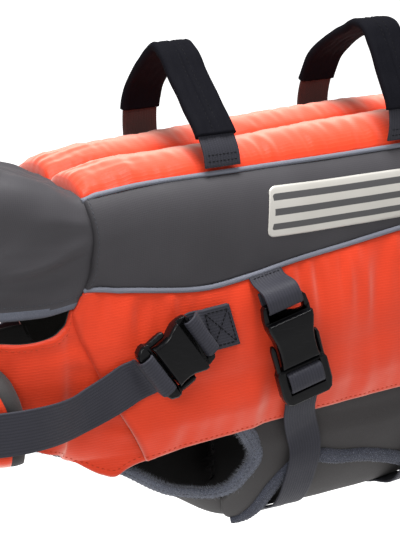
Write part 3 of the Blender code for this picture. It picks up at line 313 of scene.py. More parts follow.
# Collar: share of the way from the top to the hem, edge angle round the neck in degrees
NECK_EDGE = (
    (0.0, 27.0), (0.184, 29.0), (0.367, 36.0), (0.514, 46.0), (0.606, 58.0), (0.68, 76.0), (0.735, 97.0), (1.0, 97.0),
)
# Its top rises forward from the shoulders at this slope, over this distance round the body; its hem drops a little
NECK_X = -0.16
NECK_RISE = 0.39
NECK_TOP = (0.02, 0.06)
NECK_BLEND = (0.156, 0.02)
HEM_DROP = 0.003
HEM_DROP_RUN = (0.161, 0.026)
HEM_S = 0.108

# Front float: thickness, and share of the way down, half length round the wrap, z
FLOAT_THICKNESS = 0.021
FLOAT_EDGES = (
    (0.0, 0.053, -0.096), (0.12, 0.0585, -0.103), (0.3, 0.0635, -0.114), (0.65, 0.0665, -0.134),
    (1.0, 0.0655, -0.155),
)


def keel_form(x, k):
    """The underside at a distance k from the keel, to the right: a tongue with turned-up edges, then the body."""
    keel, side = read(KEEL, x), copysign(1, k)
    flat = read(BELLY_WIDTH, x) - TONGUE_EDGE
    turn = max(abs(k) - flat, 0.0) / TONGUE_TURN
    y = min(abs(k), flat) + TONGUE_TURN * sin(turn)
    z = keel + TONGUE_BOW * min(abs(k), flat) ** 2 + TONGUE_TURN * (1 - cos(turn))
    under = body(x, girth(x) / 2 - k)
    share = fade(x, *TONGUE_BLEND)
    return mix(np.array([x, side * y, z]), under, share)


def wrap_plan():
    """The wrap in plan, from the front middle back along the right side: distances, x, y."""
    angles = np.radians(np.linspace(90, 0, 181))
    x = WRAP_X - WRAP_LENGTH * np.sin(angles) ** WRAP_POWER
    y = WRAP_HALF * np.cos(angles) ** WRAP_POWER
    y[0] = 0.0
    x = np.append(x, WRAP_X + WRAP_TAIL[0])
    y = np.append(y, WRAP_HALF + WRAP_TAIL[1])
    around = np.concatenate([[0], np.cumsum(np.hypot(np.diff(x), np.diff(y)))])
    return around, x, y


WRAP_AROUND, WRAP_XS, WRAP_YS = wrap_plan()


def wrap_x(t):
    return float(np.interp(abs(t), WRAP_AROUND, WRAP_XS))


def wrap_t(x):
    """Distance round the wrap, from the front middle, at which its right side reaches this x."""
    return float(np.interp(x, WRAP_XS, WRAP_AROUND))


def wrap(t, z):
    """The chest wrap at a distance t round it and a height z; it runs into the body form at its rear."""
    x = wrap_x(t)
    side = copysign(1, t)
    nose = np.array([x, side * np.interp(abs(t), WRAP_AROUND, WRAP_YS), z])
    share = fade(abs(t), *WRAP_BLEND)
    if share == 0:
        return nose
    flank = body(x, side * side_distance(x, max(z, WALL_LOW_Z)))
    flank[2] = z
    return mix(nose, flank, share)


def wrap_down(z, t):
    """The wrap with its two coordinates exchanged, so that its normal faces forward and out."""
    return wrap(t, z)


def neck(angle, s):
    """The collar's form: an angle round the neck in degrees, and a distance s round the body."""
    turn = radians(angle)
    reach = WRAP_X - WRAP_LENGTH * abs(sin(turn)) ** WRAP_POWER
    narrow = copysign(abs(cos(turn)) ** WRAP_POWER, cos(turn))
    start = body(NECK_X, s)
    upper = 1 - fade(abs(s), *NECK_TOP)
    ahead = max(NECK_X - reach, 0.0)
    lift = NECK_RISE * ahead * upper
    drop = HEM_DROP * fade(-reach, *HEM_DROP_RUN) * (abs(s) / HEM_S) ** 2
    form = np.array([reach, start[1] * narrow, start[2] + lift - drop])
    share = fade(-reach, *NECK_BLEND)
    return mix(body(reach, s), form, share)


# %% [markdown]
# ## Foam thickness
# Padding is a height over the form. It falls to the seam's thickness at every stitched edge and rounds up within
# a few millimetres, which is what foam does under tight cloth. These are the fills of the pad, panel and flap.

# %% Fills of the padded pieces
# Back pad: x, height of the tubes' crowns, height beside the middle seam
PAD_HEIGHTS = (
    (-0.159, 0.0115, 0.0058), (-0.12, 0.012, 0.0055), (-0.06, 0.0124, 0.0036), (0.0, 0.0155, 0.0064),
    (0.08, 0.0155, 0.0068), (0.158, 0.0135, 0.0062),
)
PAD_END_LENGTH = 0.01
PIPING_GROOVE = 0.0023
# A tube is fullest a little to one side of its middle, and its top is flatter than a half circle
PAD_LEAN, PAD_ROUND = 1.12, 0.72
PANEL_FILL = 0.0011
# Side flap: fill, length over which its ends round off, cloth at its hem, and the same lean and roundness
FLAP_FILL, FLAP_END_LENGTH, FLAP_HEM = 0.006, 0.03, 0.003
FLAP_LEAN, FLAP_ROUND = 0.9, 0.8
# How far the flap stands off the body over the wing, more so in front, and where on its way down it starts to
FLAP_CLEAR, FLAP_CLEAR_FRONT = 0.0047, 0.0022
FLAP_FRONT_RUN, FLAP_CLEAR_RUN = (0.042, 0.012), (0.55, 0.27)


def rounding(distance, reach):
    """How far padding has filled at this distance from its seam: 0 at the seam, 1 from reach on."""
    share = np.clip(np.asarray(distance, float) / reach, 0.0, 1.0)
    return np.sqrt(np.maximum(1 - (1 - share) ** 2, 0.0))


def pad_height(x, s):
    """Top face of the back pad: two lengthwise crowns beside a middle seam."""
    crown, middle = read(PAD_HEIGHTS, x)
    seam = read(TOP_SEAM, x)
    w = min(abs(s) / (seam - PIPING_GROOVE), 1.0)
    ends = rounding(min(x - FRONT_X, REAR_X - x), PAD_END_LENGTH)
    across = max(sin(pi * w**PAD_LEAN), 0.0) ** PAD_ROUND
    base = mix(middle, SEAM_HEIGHT, w)
    lobe = (crown - 0.5 * (middle + SEAM_HEIGHT)) * across
    return SEAM_HEIGHT * 0.8 * (1 - ends) + ends * (base + lobe)


def side_panel_height(v):
    """Outer face of the grey panel at this share of the way down."""
    return SEAM_HEIGHT + PANEL_FILL * sin(pi * v)


def flap_share(x, s):
    top, bottom = read(LOWER_SEAM, x), read(FLAP_EDGE, x)
    return min(max((s - top) / (bottom - top), 0.0), 1.0)


def flap_inner(x, s):
    """Inner face of the side flap: on the body at its seam, then clear of the wing that it covers."""
    clear = FLAP_CLEAR + FLAP_CLEAR_FRONT * fade(-x, *FLAP_FRONT_RUN)
    return clear * fade(flap_share(x, s), *FLAP_CLEAR_RUN)


def flap_outer(x, s):
    """Outer face of the side flap, softly filled between its edges."""
    v = flap_share(x, s)
    front = read(FLAP_FRONT, v)
    fill = FLAP_FILL * rounding(x - front, FLAP_END_LENGTH) * rounding(REAR_X - x, FLAP_END_LENGTH)
    across = max(sin(pi * v**FLAP_LEAN), 0.0) ** FLAP_ROUND
    return flap_inner(x, s) + SEAM_HEIGHT * (1 - v) + FLAP_HEM * v + fill * across


# %% [markdown]
# ## The belly band's outline
# The wing reaches down from under the flap, narrows to a finger at the keel and arches up again. Its outline is a
# table of places from the keel, and the binding's width is kept free all along it.

# %% Wing and tongue outlines
# Height of the wing's inner face under the flap, and the distance from the keel at which it has risen off the panel
WING_REST = 0.0006
WING_LIFT_RUN = (-0.104, 0.016)
# The rubber stops this far inside the outline, within its edge tape
RUBBER_INSET = 0.55 * BINDING_WIDTH
TAPE_EASE = (-0.085, 0.025)


def wing_edge(u, inset):
    """x and s of the wing's lower edge at this share along it, moved in by the inset."""
    x, k = read(WING_EDGE, u)
    ahead = read(WING_EDGE, min(u + 0.01, 1.0)) - read(WING_EDGE, max(u - 0.01, 0.0))
    along, up = ahead / norm(ahead)
    x, k = x - up * inset, k + along * inset
    return x, girth(x) / 2 - k


def wing_place(u, v, inset):
    """x and s of the wing at these shares along and down it, short of its edge by the inset."""
    low_x, low_s = wing_edge(u, inset)
    top_x = WING_TOP_X[0] + inset + (WING_TOP_X[1] - WING_TOP_X[0] - inset) * u
    corner_x = wing_edge(0.0, inset)[0]
    bow = read(WING_FRONT, v) - WING_TOP_X[0] * (1 - v) - WING_EDGE[0][1] * v
    lead = (WING_EDGE[0][1] + inset - corner_x) * v
    x = mix(top_x, low_x, v) + (bow + lead) * (1 - u) ** 3
    return x, mix(WING_TOP_S, low_s, v)


def wing_lift(x, s):
    """Inner face of the wing: close to the body under the flap, then clear of the belly panel."""
    from_keel = girth(x) / 2 - s
    return WING_REST + (WING_LIFT - WING_REST) * fade(-from_keel, *WING_LIFT_RUN)


def belly_front_x(k):
    """x at which the tongue's end meets the inside of the chest closure."""
    share = min(abs(k) / WRAP_HALF, 0.95)
    return WRAP_X - WRAP_LENGTH * (1 - share ** (2 / WRAP_POWER)) ** (WRAP_POWER / 2) + 2 * GAP


def leg_binding_path(side):
    """The binding's middle and outward step: down the wing's front edge, then forward along the panel."""
    half = BINDING_WIDTH / 2
    rows = []
    for v in np.linspace(0.16, 0.66, 7):
        x = read(WING_FRONT, v) + half
        s = side * mix(WING_TOP_S, wing_edge(0.0, half)[1], v)
        rows.append(np.concatenate(stood_off(body, x, s, 0.0032 + 0.001 * v, 0.0001)))
    for x in np.linspace(-0.06, -0.205, 16):
        k = side * (read(BELLY_WIDTH, x) - half)
        height = 0.0013 + 0.0022 * fade(x, *TAPE_EASE)
        rows.append(np.concatenate(stood_off(keel_form, x, k, -height, -0.0001)))
    return rows


# %% [markdown]
# ## A finish starts with small helpers
# Shader trees are wiring. Two helpers keep it readable: one adds a node and plugs in values or sockets, the other
# does sums. A node group is an effect used by more than one finish, built once and given different numbers.

# %% Wiring helpers
def plug(tree, socket, value):
    if isinstance(value, bpy.types.NodeSocket):
        tree.links.new(value, socket)
    else:
        socket.default_value = value


def add(tree, kind, inputs=(), **settings):
    made = tree.nodes.new("ShaderNode" + kind)
    for key, value in settings.items():
        setattr(made, key, value)
    for key, value in dict(inputs).items():
        plug(tree, made.inputs[key], value)
    return made


def sums(tree, operation, a, b=0.0, clamp=False):
    return add(tree, "Math", {0: a, 1: b}, operation=operation, use_clamp=clamp).outputs[0]


def waves(tree, value, pitch):
    """0 to 1 ridges with this distance between them."""
    turns = sums(tree, "MULTIPLY", sums(tree, "DIVIDE", value, pitch), 2 * pi)
    return sums(tree, "MULTIPLY_ADD", sums(tree, "SINE", turns), 0.5)


def new_group(name, inputs, outputs):
    tree = bpy.data.node_groups.new(name, "ShaderNodeTree")
    for label, kind, value in inputs:
        socket = tree.interface.new_socket(name=label, in_out="INPUT", socket_type="NodeSocket" + kind)
        if value is not None:
            socket.default_value = value
    for label in outputs:
        tree.interface.new_socket(name=label, in_out="OUTPUT", socket_type="NodeSocketFloat")
    return tree, tree.nodes.new("NodeGroupInput").outputs, tree.nodes.new("NodeGroupOutput").inputs


# %% [markdown]
# ## Woven cloth
# Ripstop is a plain weave with thicker threads every few millimetres, and on this cloth the crosswise ones stand
# out most. Threads are sine ridges on the cut's own coordinates, in metres, so they follow the cloth round every
# fold. A little noise bends them, because no roll of cloth is perfectly straight.

# %% Weave group
def weave_group():
    tree, given, out = new_group(
        "woven cloth",
        [("Cut", "Vector", None), ("Thread", "Float", 0.0006), ("Ripstop", "Float", 0.0017),
         ("Upright", "Float", 0.35)],
        ["Height", "Rows"])
    wander = add(tree, "TexNoise", {"Vector": given["Cut"], "Scale": 60.0, "Detail": 1.0}).outputs[0]
    shift = sums(tree, "MULTIPLY", sums(tree, "SUBTRACT", wander, 0.5), 0.001)
    axes = add(tree, "SeparateXYZ", {0: given["Cut"]}).outputs
    along, across = sums(tree, "ADD", axes[0], shift), sums(tree, "ADD", axes[1], shift)
    warp = waves(tree, along, given["Thread"])
    weft = waves(tree, across, given["Thread"])
    rows = sums(tree, "POWER", waves(tree, across, given["Ripstop"]), 3.0)
    posts = sums(tree, "POWER", waves(tree, along, given["Ripstop"]), 5.0)
    thick = sums(tree, "MAXIMUM", rows, sums(tree, "MULTIPLY", posts, given["Upright"]))
    plain = sums(tree, "MULTIPLY", sums(tree, "MULTIPLY", warp, weft), 0.35)
    plug(tree, out["Height"], sums(tree, "ADD", plain, sums(tree, "MULTIPLY", thick, 0.65)))
    plug(tree, out["Rows"], thick)
    return tree


WEAVE = weave_group()

# %% [markdown]
# ## Webbing
# Narrow webbing is woven with heavy lengthwise ribs, and the weft shows as short slanted steps in each rib. The
# steps of one rib lie half a pitch off those of the next, which gives the fine herringbone of real strapping.

# %% Webbing group
def webbing_group():
    tree, given, out = new_group(
        "strap webbing", [("Cut", "Vector", None), ("Rib", "Float", 0.0019), ("Pick", "Float", 0.0013)],
        ["Height", "Groove"])
    axes = add(tree, "SeparateXYZ", {0: given["Cut"]}).outputs
    ribs = waves(tree, axes[1], given["Rib"])
    pairs = waves(tree, axes[1], sums(tree, "MULTIPLY", given["Rib"], 2.0))
    side = sums(tree, "MULTIPLY", sums(tree, "GREATER_THAN", pairs, 0.5), 0.5)
    slide = sums(tree, "MULTIPLY", side, given["Pick"])
    picks = waves(tree, sums(tree, "ADD", axes[0], slide), given["Pick"])
    plug(tree, out["Height"], sums(tree, "ADD", sums(tree, "MULTIPLY", ribs, 0.7), sums(tree, "MULTIPLY", picks, 0.3)))
    plug(tree, out["Groove"], sums(tree, "POWER", sums(tree, "SUBTRACT", 1.0, ribs), 2.0))
    return tree


WEBBING_WEAVE = webbing_group()

# %% [markdown]
# ## Dye, handling and painted shade at seams
# Dye never takes evenly, and cloth that has been folded and handled has soft paler and darker patches. Close to a
# stitched edge the cloth dips into the seam, and the shade that falls there is painted into its colour as a darker
# tone. Each piece carries its distance from its own edge as an attribute, so this painted shade follows any outline
# without an image.

# %% Dye and seam groups
def dye_group():
    tree, given, out = new_group("dye and handling", [("Place", "Vector", None)], ["Shade", "Fine"])
    stretch = add(tree, "Mapping", {"Vector": given["Place"], "Scale": (1.0, 1.0, 0.55)}).outputs[0]
    broad = add(tree, "TexNoise", {"Vector": stretch, "Scale": 22.0, "Detail": 3.0, "Roughness": 0.55}).outputs[0]
    fine = add(tree, "TexNoise", {"Vector": given["Place"], "Scale": 420.0, "Detail": 2.0}).outputs[0]
    plug(tree, out["Shade"], broad)
    plug(tree, out["Fine"], fine)
    return tree


# Painted shade: a mask that is 1 at a piece's stitched edge and fades out over the reach; finishes darken their colour
# with it.
def painted_shade_group():
    tree, given, out = new_group("painted shade at a seam", [("Distance", "Float", 1.0), ("Reach", "Float", 0.004)], ["Mask"])
    share = sums(tree, "SUBTRACT", 1.0, sums(tree, "DIVIDE", given["Distance"], given["Reach"]), clamp=True)
    plug(tree, out["Mask"], sums(tree, "POWER", share, 1.6))
    return tree


DYE, PAINTED_SEAM_SHADE = dye_group(), painted_shade_group()

# %% [markdown]
# ## Nap
# Brushed tape, knitted lining and foam rubber share one thing: a very fine uneven surface. One group gives it,
# with the size of its grain as an input, from a fifth of a millimetre for foam rubber to half for a fleece.

# %% Nap group
def nap_group():
    tree, given, out = new_group("nap", [("Place", "Vector", None), ("Grain", "Float", 0.0004)], ["Height", "Tips"])
    scale = sums(tree, "DIVIDE", 1.0, given["Grain"])
    grain = {"Vector": given["Place"], "Scale": scale, "Detail": 3.0, "Roughness": 0.7}
    tufts = add(tree, "TexNoise", grain).outputs[0]
    plug(tree, out["Height"], tufts)
    plug(tree, out["Tips"], sums(tree, "POWER", tufts, 2.0))
    return tree


NAP = nap_group()

# %% [markdown]
# ## Putting a finish together
# Every finish is a Principled shader with a base colour that two or three masks darken or lighten, a roughness
# that varies with the dye, and one Bump node fed by the weave. Cloth also gets a little sheen, which is the light
# that fibre ends catch at a grazing angle. A colour is red, green, blue and 1.

# %% Finish helpers
def place_group(tree, group, **inputs):
    made = tree.nodes.new("ShaderNodeGroup")
    made.node_tree = group
    for key, value in inputs.items():
        plug(tree, made.inputs[key], value)
    return made.outputs


def blend_colour(tree, share, first, second):
    made = add(tree, "Mix", {0: share}, data_type="RGBA")
    plug(tree, made.inputs[6], first)
    plug(tree, made.inputs[7], second)
    return made.outputs[2]


def tinted(colour, share):
    """A colour made darker, or brighter, by this share."""
    return tuple(c * share for c in colour[:3]) + (1,)


def masked(tree, mask, share, first, second):
    """The second colour laid over the first where the mask is, at this share of its strength."""
    return blend_colour(tree, sums(tree, "MULTIPLY", mask, share), first, second)


def new_finish(name, sheen=0.0, specular=0.18):
    made = bpy.data.materials.new(name)
    made.use_nodes = True
    tree = made.node_tree
    shader = tree.nodes["Principled BSDF"]
    shader.inputs["Specular IOR Level"].default_value = specular
    shader.inputs["Sheen Weight"].default_value = sheen
    shader.inputs["Sheen Roughness"].default_value = 0.4
    return made, tree, shader, add(tree, "TexCoord").outputs["Object"]


def flat_cut(tree):
    return add(tree, "UVMap", uv_map="cut").outputs[0]


def carried(tree, label):
    """A number that the piece carries at each point, such as its distance from its edge."""
    return add(tree, "Attribute", attribute_name=label).outputs["Fac"]


def painted_seam_shade(tree, reach):
    return place_group(tree, PAINTED_SEAM_SHADE, Distance=carried(tree, "edge"), Reach=reach)["Mask"]


def set_finish(tree, shader, colour, rough, height, depth, strength=0.6):
    plug(tree, shader.inputs["Base Color"], colour)
    plug(tree, shader.inputs["Roughness"], rough)
    bump = add(tree, "Bump", {"Height": height, "Strength": strength, "Distance": depth})
    plug(tree, shader.inputs["Normal"], bump.outputs[0])


def between(tree, value, low, high):
    return add(tree, "MapRange", {0: value, 3: low, 4: high}).outputs[0]


# %% [markdown]
# ## Shell cloths
# The orange is a coated ripstop, the grey a plain tight weave with a dull coating, and both share the weave group.
# Coated nylon catches the overhead light at a grazing angle, and that sheen is painted into the orange's colour:
# a second, pale salmon colour that it goes up to about half way towards, as a painted highlight. Its share grows
# steeply with the angle and then stops. The thick threads are drawn a little paler.

# %% Orange and grey shell cloth
# Painted sheen at a grazing angle, a painted highlight: how steeply it comes, its gain, and the most of it that shows
PAINTED_SHEEN_POWER, PAINTED_SHEEN_GAIN, PAINTED_SHEEN_MOST = 3.6, 1.55, 0.48


def cloth_finish(name, deep, bright, thread, ripstop, upright, depth, rough, sheen, painted_sheen=None):
    made, tree, shader, place = new_finish(name, sheen=sheen)
    weave = place_group(tree, WEAVE, Cut=flat_cut(tree), Thread=thread, Ripstop=ripstop, Upright=upright)
    dye = place_group(tree, DYE, Place=place)
    colour = blend_colour(tree, between(tree, dye["Shade"], 0.1, 0.9), deep, bright)
    # Painted highlight: towards a grazing angle the colour is blended up to about half way to the pale salmon sheen
    # colour.
    if painted_sheen:
        facing = add(tree, "LayerWeight", {"Blend": 0.5}).outputs["Facing"]
        paler = sums(tree, "MULTIPLY", sums(tree, "POWER", facing, PAINTED_SHEEN_POWER), PAINTED_SHEEN_GAIN)
        colour = blend_colour(tree, sums(tree, "MINIMUM", paler, PAINTED_SHEEN_MOST), colour, painted_sheen)
    # The thick threads of the ripstop are drawn a little paler than the rest of the cloth.
    paler_rows = tuple(min(c * 1.35 + 0.01, 1) for c in bright[:3]) + (1,)
    colour = masked(tree, weave["Rows"], 0.16, colour, paler_rows)
    # Painted shade: the colour is darkened towards the stitched edges, where the cloth dips into the seam.
    colour = masked(tree, painted_seam_shade(tree, 0.0045), 0.55, colour, tinted(deep, 0.45))
    set_finish(tree, shader, colour, between(tree, dye["Fine"], rough - 0.08, rough + 0.08), weave["Height"], depth)
    return made


# The orange's last colour is the pale salmon of its painted sheen, a painted highlight at grazing angles.
ORANGE = cloth_finish(
    "orange ripstop", (0.62, 0.037, 0.01, 1), (0.74, 0.056, 0.016, 1), thread=0.0006, ripstop=0.0017, upright=0.25,
    depth=0.00013, rough=0.5, sheen=0.3, painted_sheen=(0.97, 0.54, 0.42, 1))
GREY = cloth_finish(
    "grey shell", (0.038, 0.036, 0.04, 1), (0.061, 0.058, 0.064, 1), thread=0.0005, ripstop=0.0011, upright=0.8,
    depth=0.00007, rough=0.6, sheen=0.05)

# %% [markdown]
# ## Foam rubber lining, inner mesh, brushed tape and grips
# The belly band is foam rubber faced with a fine knit, in a brownish grey, and the inner faces of the padding are
# a dark mesh. The edge tape is brushed until its surface stands up, so only the tips catch the light. The leg
# holes' tape has long loose fibres that are paler still. On the wings' lower edges the tape is drawn darker, with
# shorter fibres. The grips are the same rubber as the band, dyed almost black.

# %% Knit, brushed and grip finishes
def nap_finish(name, deep, bright, grain, depth, rough, sheen, strength=0.6, specular=0.18):
    made, tree, shader, place = new_finish(name, sheen=sheen, specular=specular)
    nap = place_group(tree, NAP, Place=place, Grain=grain)
    dye = place_group(tree, DYE, Place=place)
    colour = blend_colour(tree, between(tree, nap["Tips"], 0.0, 1.7), deep, bright)
    colour = blend_colour(tree, between(tree, dye["Shade"], 0.0, 0.3), colour, tinted(deep, 0.6))
    # Painted shade: the colour is darkened towards the stitched edges, where the cloth dips into the seam.
    colour = masked(tree, painted_seam_shade(tree, 0.003), 0.5, colour, tinted(deep, 0.4))
    roughness = between(tree, dye["Fine"], rough - 0.06, rough + 0.06)
    set_finish(tree, shader, colour, roughness, nap["Height"], depth, strength)
    return made


LINING = nap_finish(
    "foam rubber lining", (0.037, 0.034, 0.034, 1), (0.068, 0.064, 0.065, 1),
    grain=0.0005, depth=0.0001, rough=0.72, sheen=0.06)
MESH = nap_finish(
    "inner mesh", (0.02, 0.018, 0.016, 1), (0.042, 0.039, 0.035, 1),
    grain=0.0008, depth=0.00025, rough=0.9, sheen=0.0)
BRUSHED = nap_finish(
    "brushed edge tape", (0.02, 0.022, 0.032, 1), (0.25, 0.27, 0.34, 1),
    grain=0.0009, depth=0.0008, rough=0.92, sheen=0.2, strength=1.0)
# Darker tape with shorter fibres, for the wings' lower edges.
DARK_TAPE = nap_finish(
    "dark edge tape", (0.014, 0.015, 0.022, 1), (0.13, 0.14, 0.185, 1),
    grain=0.0008, depth=0.0006, rough=0.92, sheen=0.1, strength=1.0)
HAIR = nap_finish(
    "loose fibres", (0.26, 0.28, 0.34, 1), (0.6, 0.63, 0.72, 1),
    grain=0.0009, depth=0.0001, rough=0.9, sheen=0.3)
GRIP = nap_finish(
    "grip rubber", (0.003, 0.003, 0.0045, 1), (0.009, 0.009, 0.013, 1),
    grain=0.0005, depth=0.00014, rough=0.8, sheen=0.0, specular=0.05)
HEM = nap_finish(
    "hem tape", (0.085, 0.092, 0.115, 1), (0.17, 0.18, 0.22, 1),
    grain=0.0006, depth=0.0002, rough=0.8, sheen=0.15)

# %% [markdown]
# ## Webbing, piping, thread and acetal
# Straps are dark polyester that shines along its ribs, with painted shade darkening the grooves between them. The
# inside of a handle catches the orange of the pad, so its inner face gets a warm tint of painted bounce light. Piping
# is a cord in a grey tape with glass beads. Buckles are moulded acetal: black, glossy, finely scratched.

# %% Webbing and piping
def webbing_finish(name, deep, bright, inner=None):
    made, tree, shader, place = new_finish(name, sheen=0.04)
    weave = place_group(tree, WEBBING_WEAVE, Cut=flat_cut(tree))
    dye = place_group(tree, DYE, Place=place)
    colour = blend_colour(tree, between(tree, dye["Shade"], 0.0, 1.0), deep, bright)
    # Painted shade: the grooves between the ribs are darkened.
    colour = masked(tree, weave["Groove"], 0.38, colour, tinted(deep, 0.45))
    # Painted bounce light: the webbing's inner face is tinted warm, as the orange of the pad lights it.
    if inner:
        colour = masked(tree, carried(tree, "under"), 0.85, colour, inner)
    set_finish(tree, shader, colour, between(tree, dye["Fine"], 0.5, 0.66), weave["Height"], 0.0002, 0.8)
    return made


WEB = webbing_finish("strap webbing", (0.023, 0.023, 0.031, 1), (0.043, 0.043, 0.056, 1))
# The warm colour given for the inner face is painted bounce light from the orange pad.
HANDLE_WEB = webbing_finish(
    "handle webbing", (0.021, 0.021, 0.028, 1), (0.036, 0.036, 0.046, 1), inner=(0.07, 0.04, 0.036, 1))
PIPING_FINISH = cloth_finish(
    "beaded piping", (0.135, 0.142, 0.175, 1), (0.185, 0.195, 0.235, 1), thread=0.0005, ripstop=0.0012, upright=0.6,
    depth=0.0001, rough=0.45, sheen=0.15)


# %% Thread, silver print and acetal
def thread_finish(name, colour):
    made, tree, shader, place = new_finish(name, sheen=0.03, specular=0.1)
    dye = place_group(tree, DYE, Place=place)
    plies = add(tree, "TexWave", {"Vector": place, "Scale": 1400.0, "Distortion": 1.0}, bands_direction="DIAGONAL")
    tone = blend_colour(tree, dye["Fine"], colour, tinted(colour, 0.7))
    set_finish(tree, shader, tone, between(tree, dye["Fine"], 0.45, 0.6), plies.outputs["Fac"], 0.0001)
    return made


# Silver print: distance between its stripes, how far they are shifted, and its plain rim
STRIPE_PITCH, STRIPE_SHIFT, SILVER_RIM = 0.0084, 0.0021, 0.0042


def silver_finish():
    """Glass bead film with plain dark stripes, from the patch's own coordinates."""
    made, tree, shader, place = new_finish("silver film", specular=0.5)
    axes = add(tree, "SeparateXYZ", {0: flat_cut(tree)}).outputs
    beads = place_group(tree, NAP, Place=place, Grain=0.00025)
    dye = place_group(tree, DYE, Place=place)
    band = waves(tree, sums(tree, "ADD", axes[1], STRIPE_SHIFT), STRIPE_PITCH)
    stripe = sums(tree, "MULTIPLY", sums(tree, "SUBTRACT", band, 0.52), 14.0, clamp=True)
    past_rim = sums(tree, "SUBTRACT", carried(tree, "edge"), SILVER_RIM)
    inside = sums(tree, "MULTIPLY", past_rim, 4000.0, clamp=True)
    stripes = sums(tree, "MULTIPLY", stripe, inside)
    silver = blend_colour(tree, between(tree, dye["Shade"], 0.0, 1.0), (0.52, 0.5, 0.455, 1), (0.66, 0.64, 0.6, 1))
    colour = blend_colour(tree, stripes, silver, (0.066, 0.065, 0.067, 1))
    plug(tree, shader.inputs["Metallic"], between(tree, stripes, 0.35, 0.0))
    set_finish(tree, shader, colour, between(tree, beads["Tips"], 0.34, 0.55), beads["Height"], 0.00006, 0.4)
    return made


def acetal_finish():
    made, tree, shader, place = new_finish("black acetal", specular=0.16)
    fine = add(tree, "TexNoise", {"Vector": place, "Scale": 900.0, "Detail": 2.0}).outputs[0]
    slant = {"Vector": place, "Rotation": (0.3, 0.5, 0.8), "Scale": (30.0, 900.0, 900.0)}
    drag = add(tree, "TexNoise", {"Vector": add(tree, "Mapping", slant).outputs[0], "Scale": 1.0, "Detail": 3.0})
    scratches = sums(tree, "POWER", drag.outputs[0], 5.0)
    dye = place_group(tree, DYE, Place=place)
    colour = blend_colour(tree, scratches, (0.003, 0.003, 0.0036, 1), (0.012, 0.012, 0.014, 1))
    rough = sums(tree, "ADD", between(tree, dye["Shade"], 0.1, 0.2), sums(tree, "MULTIPLY", scratches, 1.2))
    set_finish(tree, shader, colour, rough, fine, 0.00004, 0.25)
    return made


ORANGE_THREAD = thread_finish("orange thread", (0.6, 0.06, 0.022, 1))
GREY_THREAD = thread_finish("grey thread", (0.075, 0.078, 0.09, 1))
BLACK_THREAD = thread_finish("black thread", (0.0045, 0.0045, 0.006, 1))
SILVER, ACETAL = silver_finish(), acetal_finish()
print("finishes:", len(bpy.data.materials), "materials and", len(bpy.data.node_groups), "effect groups")

# %% [markdown]
# ## Cloth as a grid
# A piece is a grid of points on the form. Its normal at each point comes from the neighbouring points, its edges
# from running sums of the distances between them. The outer face is that grid raised by the fill, the inner face
# lies on the body, and a rim joins them, rounded over like a turned edge. The grid also gives the coordinates of
# the flat cut, which is what a weave should follow.

# %% Grids to shells
# Height of the jacket's middle line, and the share of its own thickness that a rim keeps at its edge
MIDDLE_Z = -0.115
RIM_SHARE = 0.3


def counts(length, width):
    return max(int(length / FINE), 8), max(int(width / FINE), 6)


def steps(count, power=1.0):
    return np.linspace(0, 1, count + 1) ** power


def outward_normals(points):
    """Unit normals of a grid of points, away from the jacket's middle line."""
    normal = np.cross(np.gradient(points, axis=0), np.gradient(points, axis=1))
    normal /= norm(normal, axis=2, keepdims=True) + 1e-12
    away = (points - (0, 0, MIDDLE_Z)) * (0, 1, 1)
    return normal if (normal * away).sum() > 0 else -normal


def edge_runs(points):
    """Distance of every point from the grid's first and last row and first and last column."""
    found = []
    for axis in (0, 1):
        pieces = norm(np.diff(points, axis=axis), axis=2)
        run = np.cumsum(pieces, axis=axis)
        zero = np.zeros_like(run[:1] if axis == 0 else run[:, :1])
        run = np.concatenate([zero, run], axis=axis)
        total = run[-1:] if axis == 0 else run[:, -1:]
        found += [run, total - run]
    return found


def grid_area(points):
    a = points[1:, :-1] - points[:-1, :-1]
    b = points[:-1, 1:] - points[:-1, :-1]
    return float(norm(np.cross(a, b), axis=2).sum())


def keep_mesh(name, verts, faces, finish, uv=None, edge=None, under=None, nodes=()):
    """Makes a smooth mesh object that rides on the jacket; its faces are turned out by its own volume."""
    verts = np.asarray(verts, float)
    corners = [(f[0], f[k], f[k + 1]) for f in faces for k in range(1, len(f) - 1)]
    a, b, c = (verts[[t[k] for t in corners]] for k in range(3))
    if (a * np.cross(b, c)).sum() < 0:
        faces = [tuple(reversed(f)) for f in faces]
    mesh = bpy.data.meshes.new(name)
    mesh.from_pydata(verts.tolist(), [], faces)
    mesh.materials.append(finish)
    mesh.polygons.foreach_set("use_smooth", [True] * len(mesh.polygons))
    if uv is not None:
        loops = np.zeros(len(mesh.loops), np.int32)
        mesh.loops.foreach_get("vertex_index", loops)
        mesh.uv_layers.new(name="cut").data.foreach_set("uv", np.asarray(uv, np.float32)[loops].ravel())
    for label, values in (("edge", edge), ("under", under)):
        if values is not None:
            carrier = mesh.attributes.new(label, "FLOAT", "POINT")
            carrier.data.foreach_set("value", np.asarray(values, np.float32).ravel())
    mesh.update()
    made = bpy.data.objects.new(name, mesh)
    bpy.context.scene.collection.objects.link(made)
    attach(made, "root")
    if nodes:
        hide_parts(*nodes)
    return made


def as_faces(rows):
    return [tuple(int(v) for v in row) for row in rows]


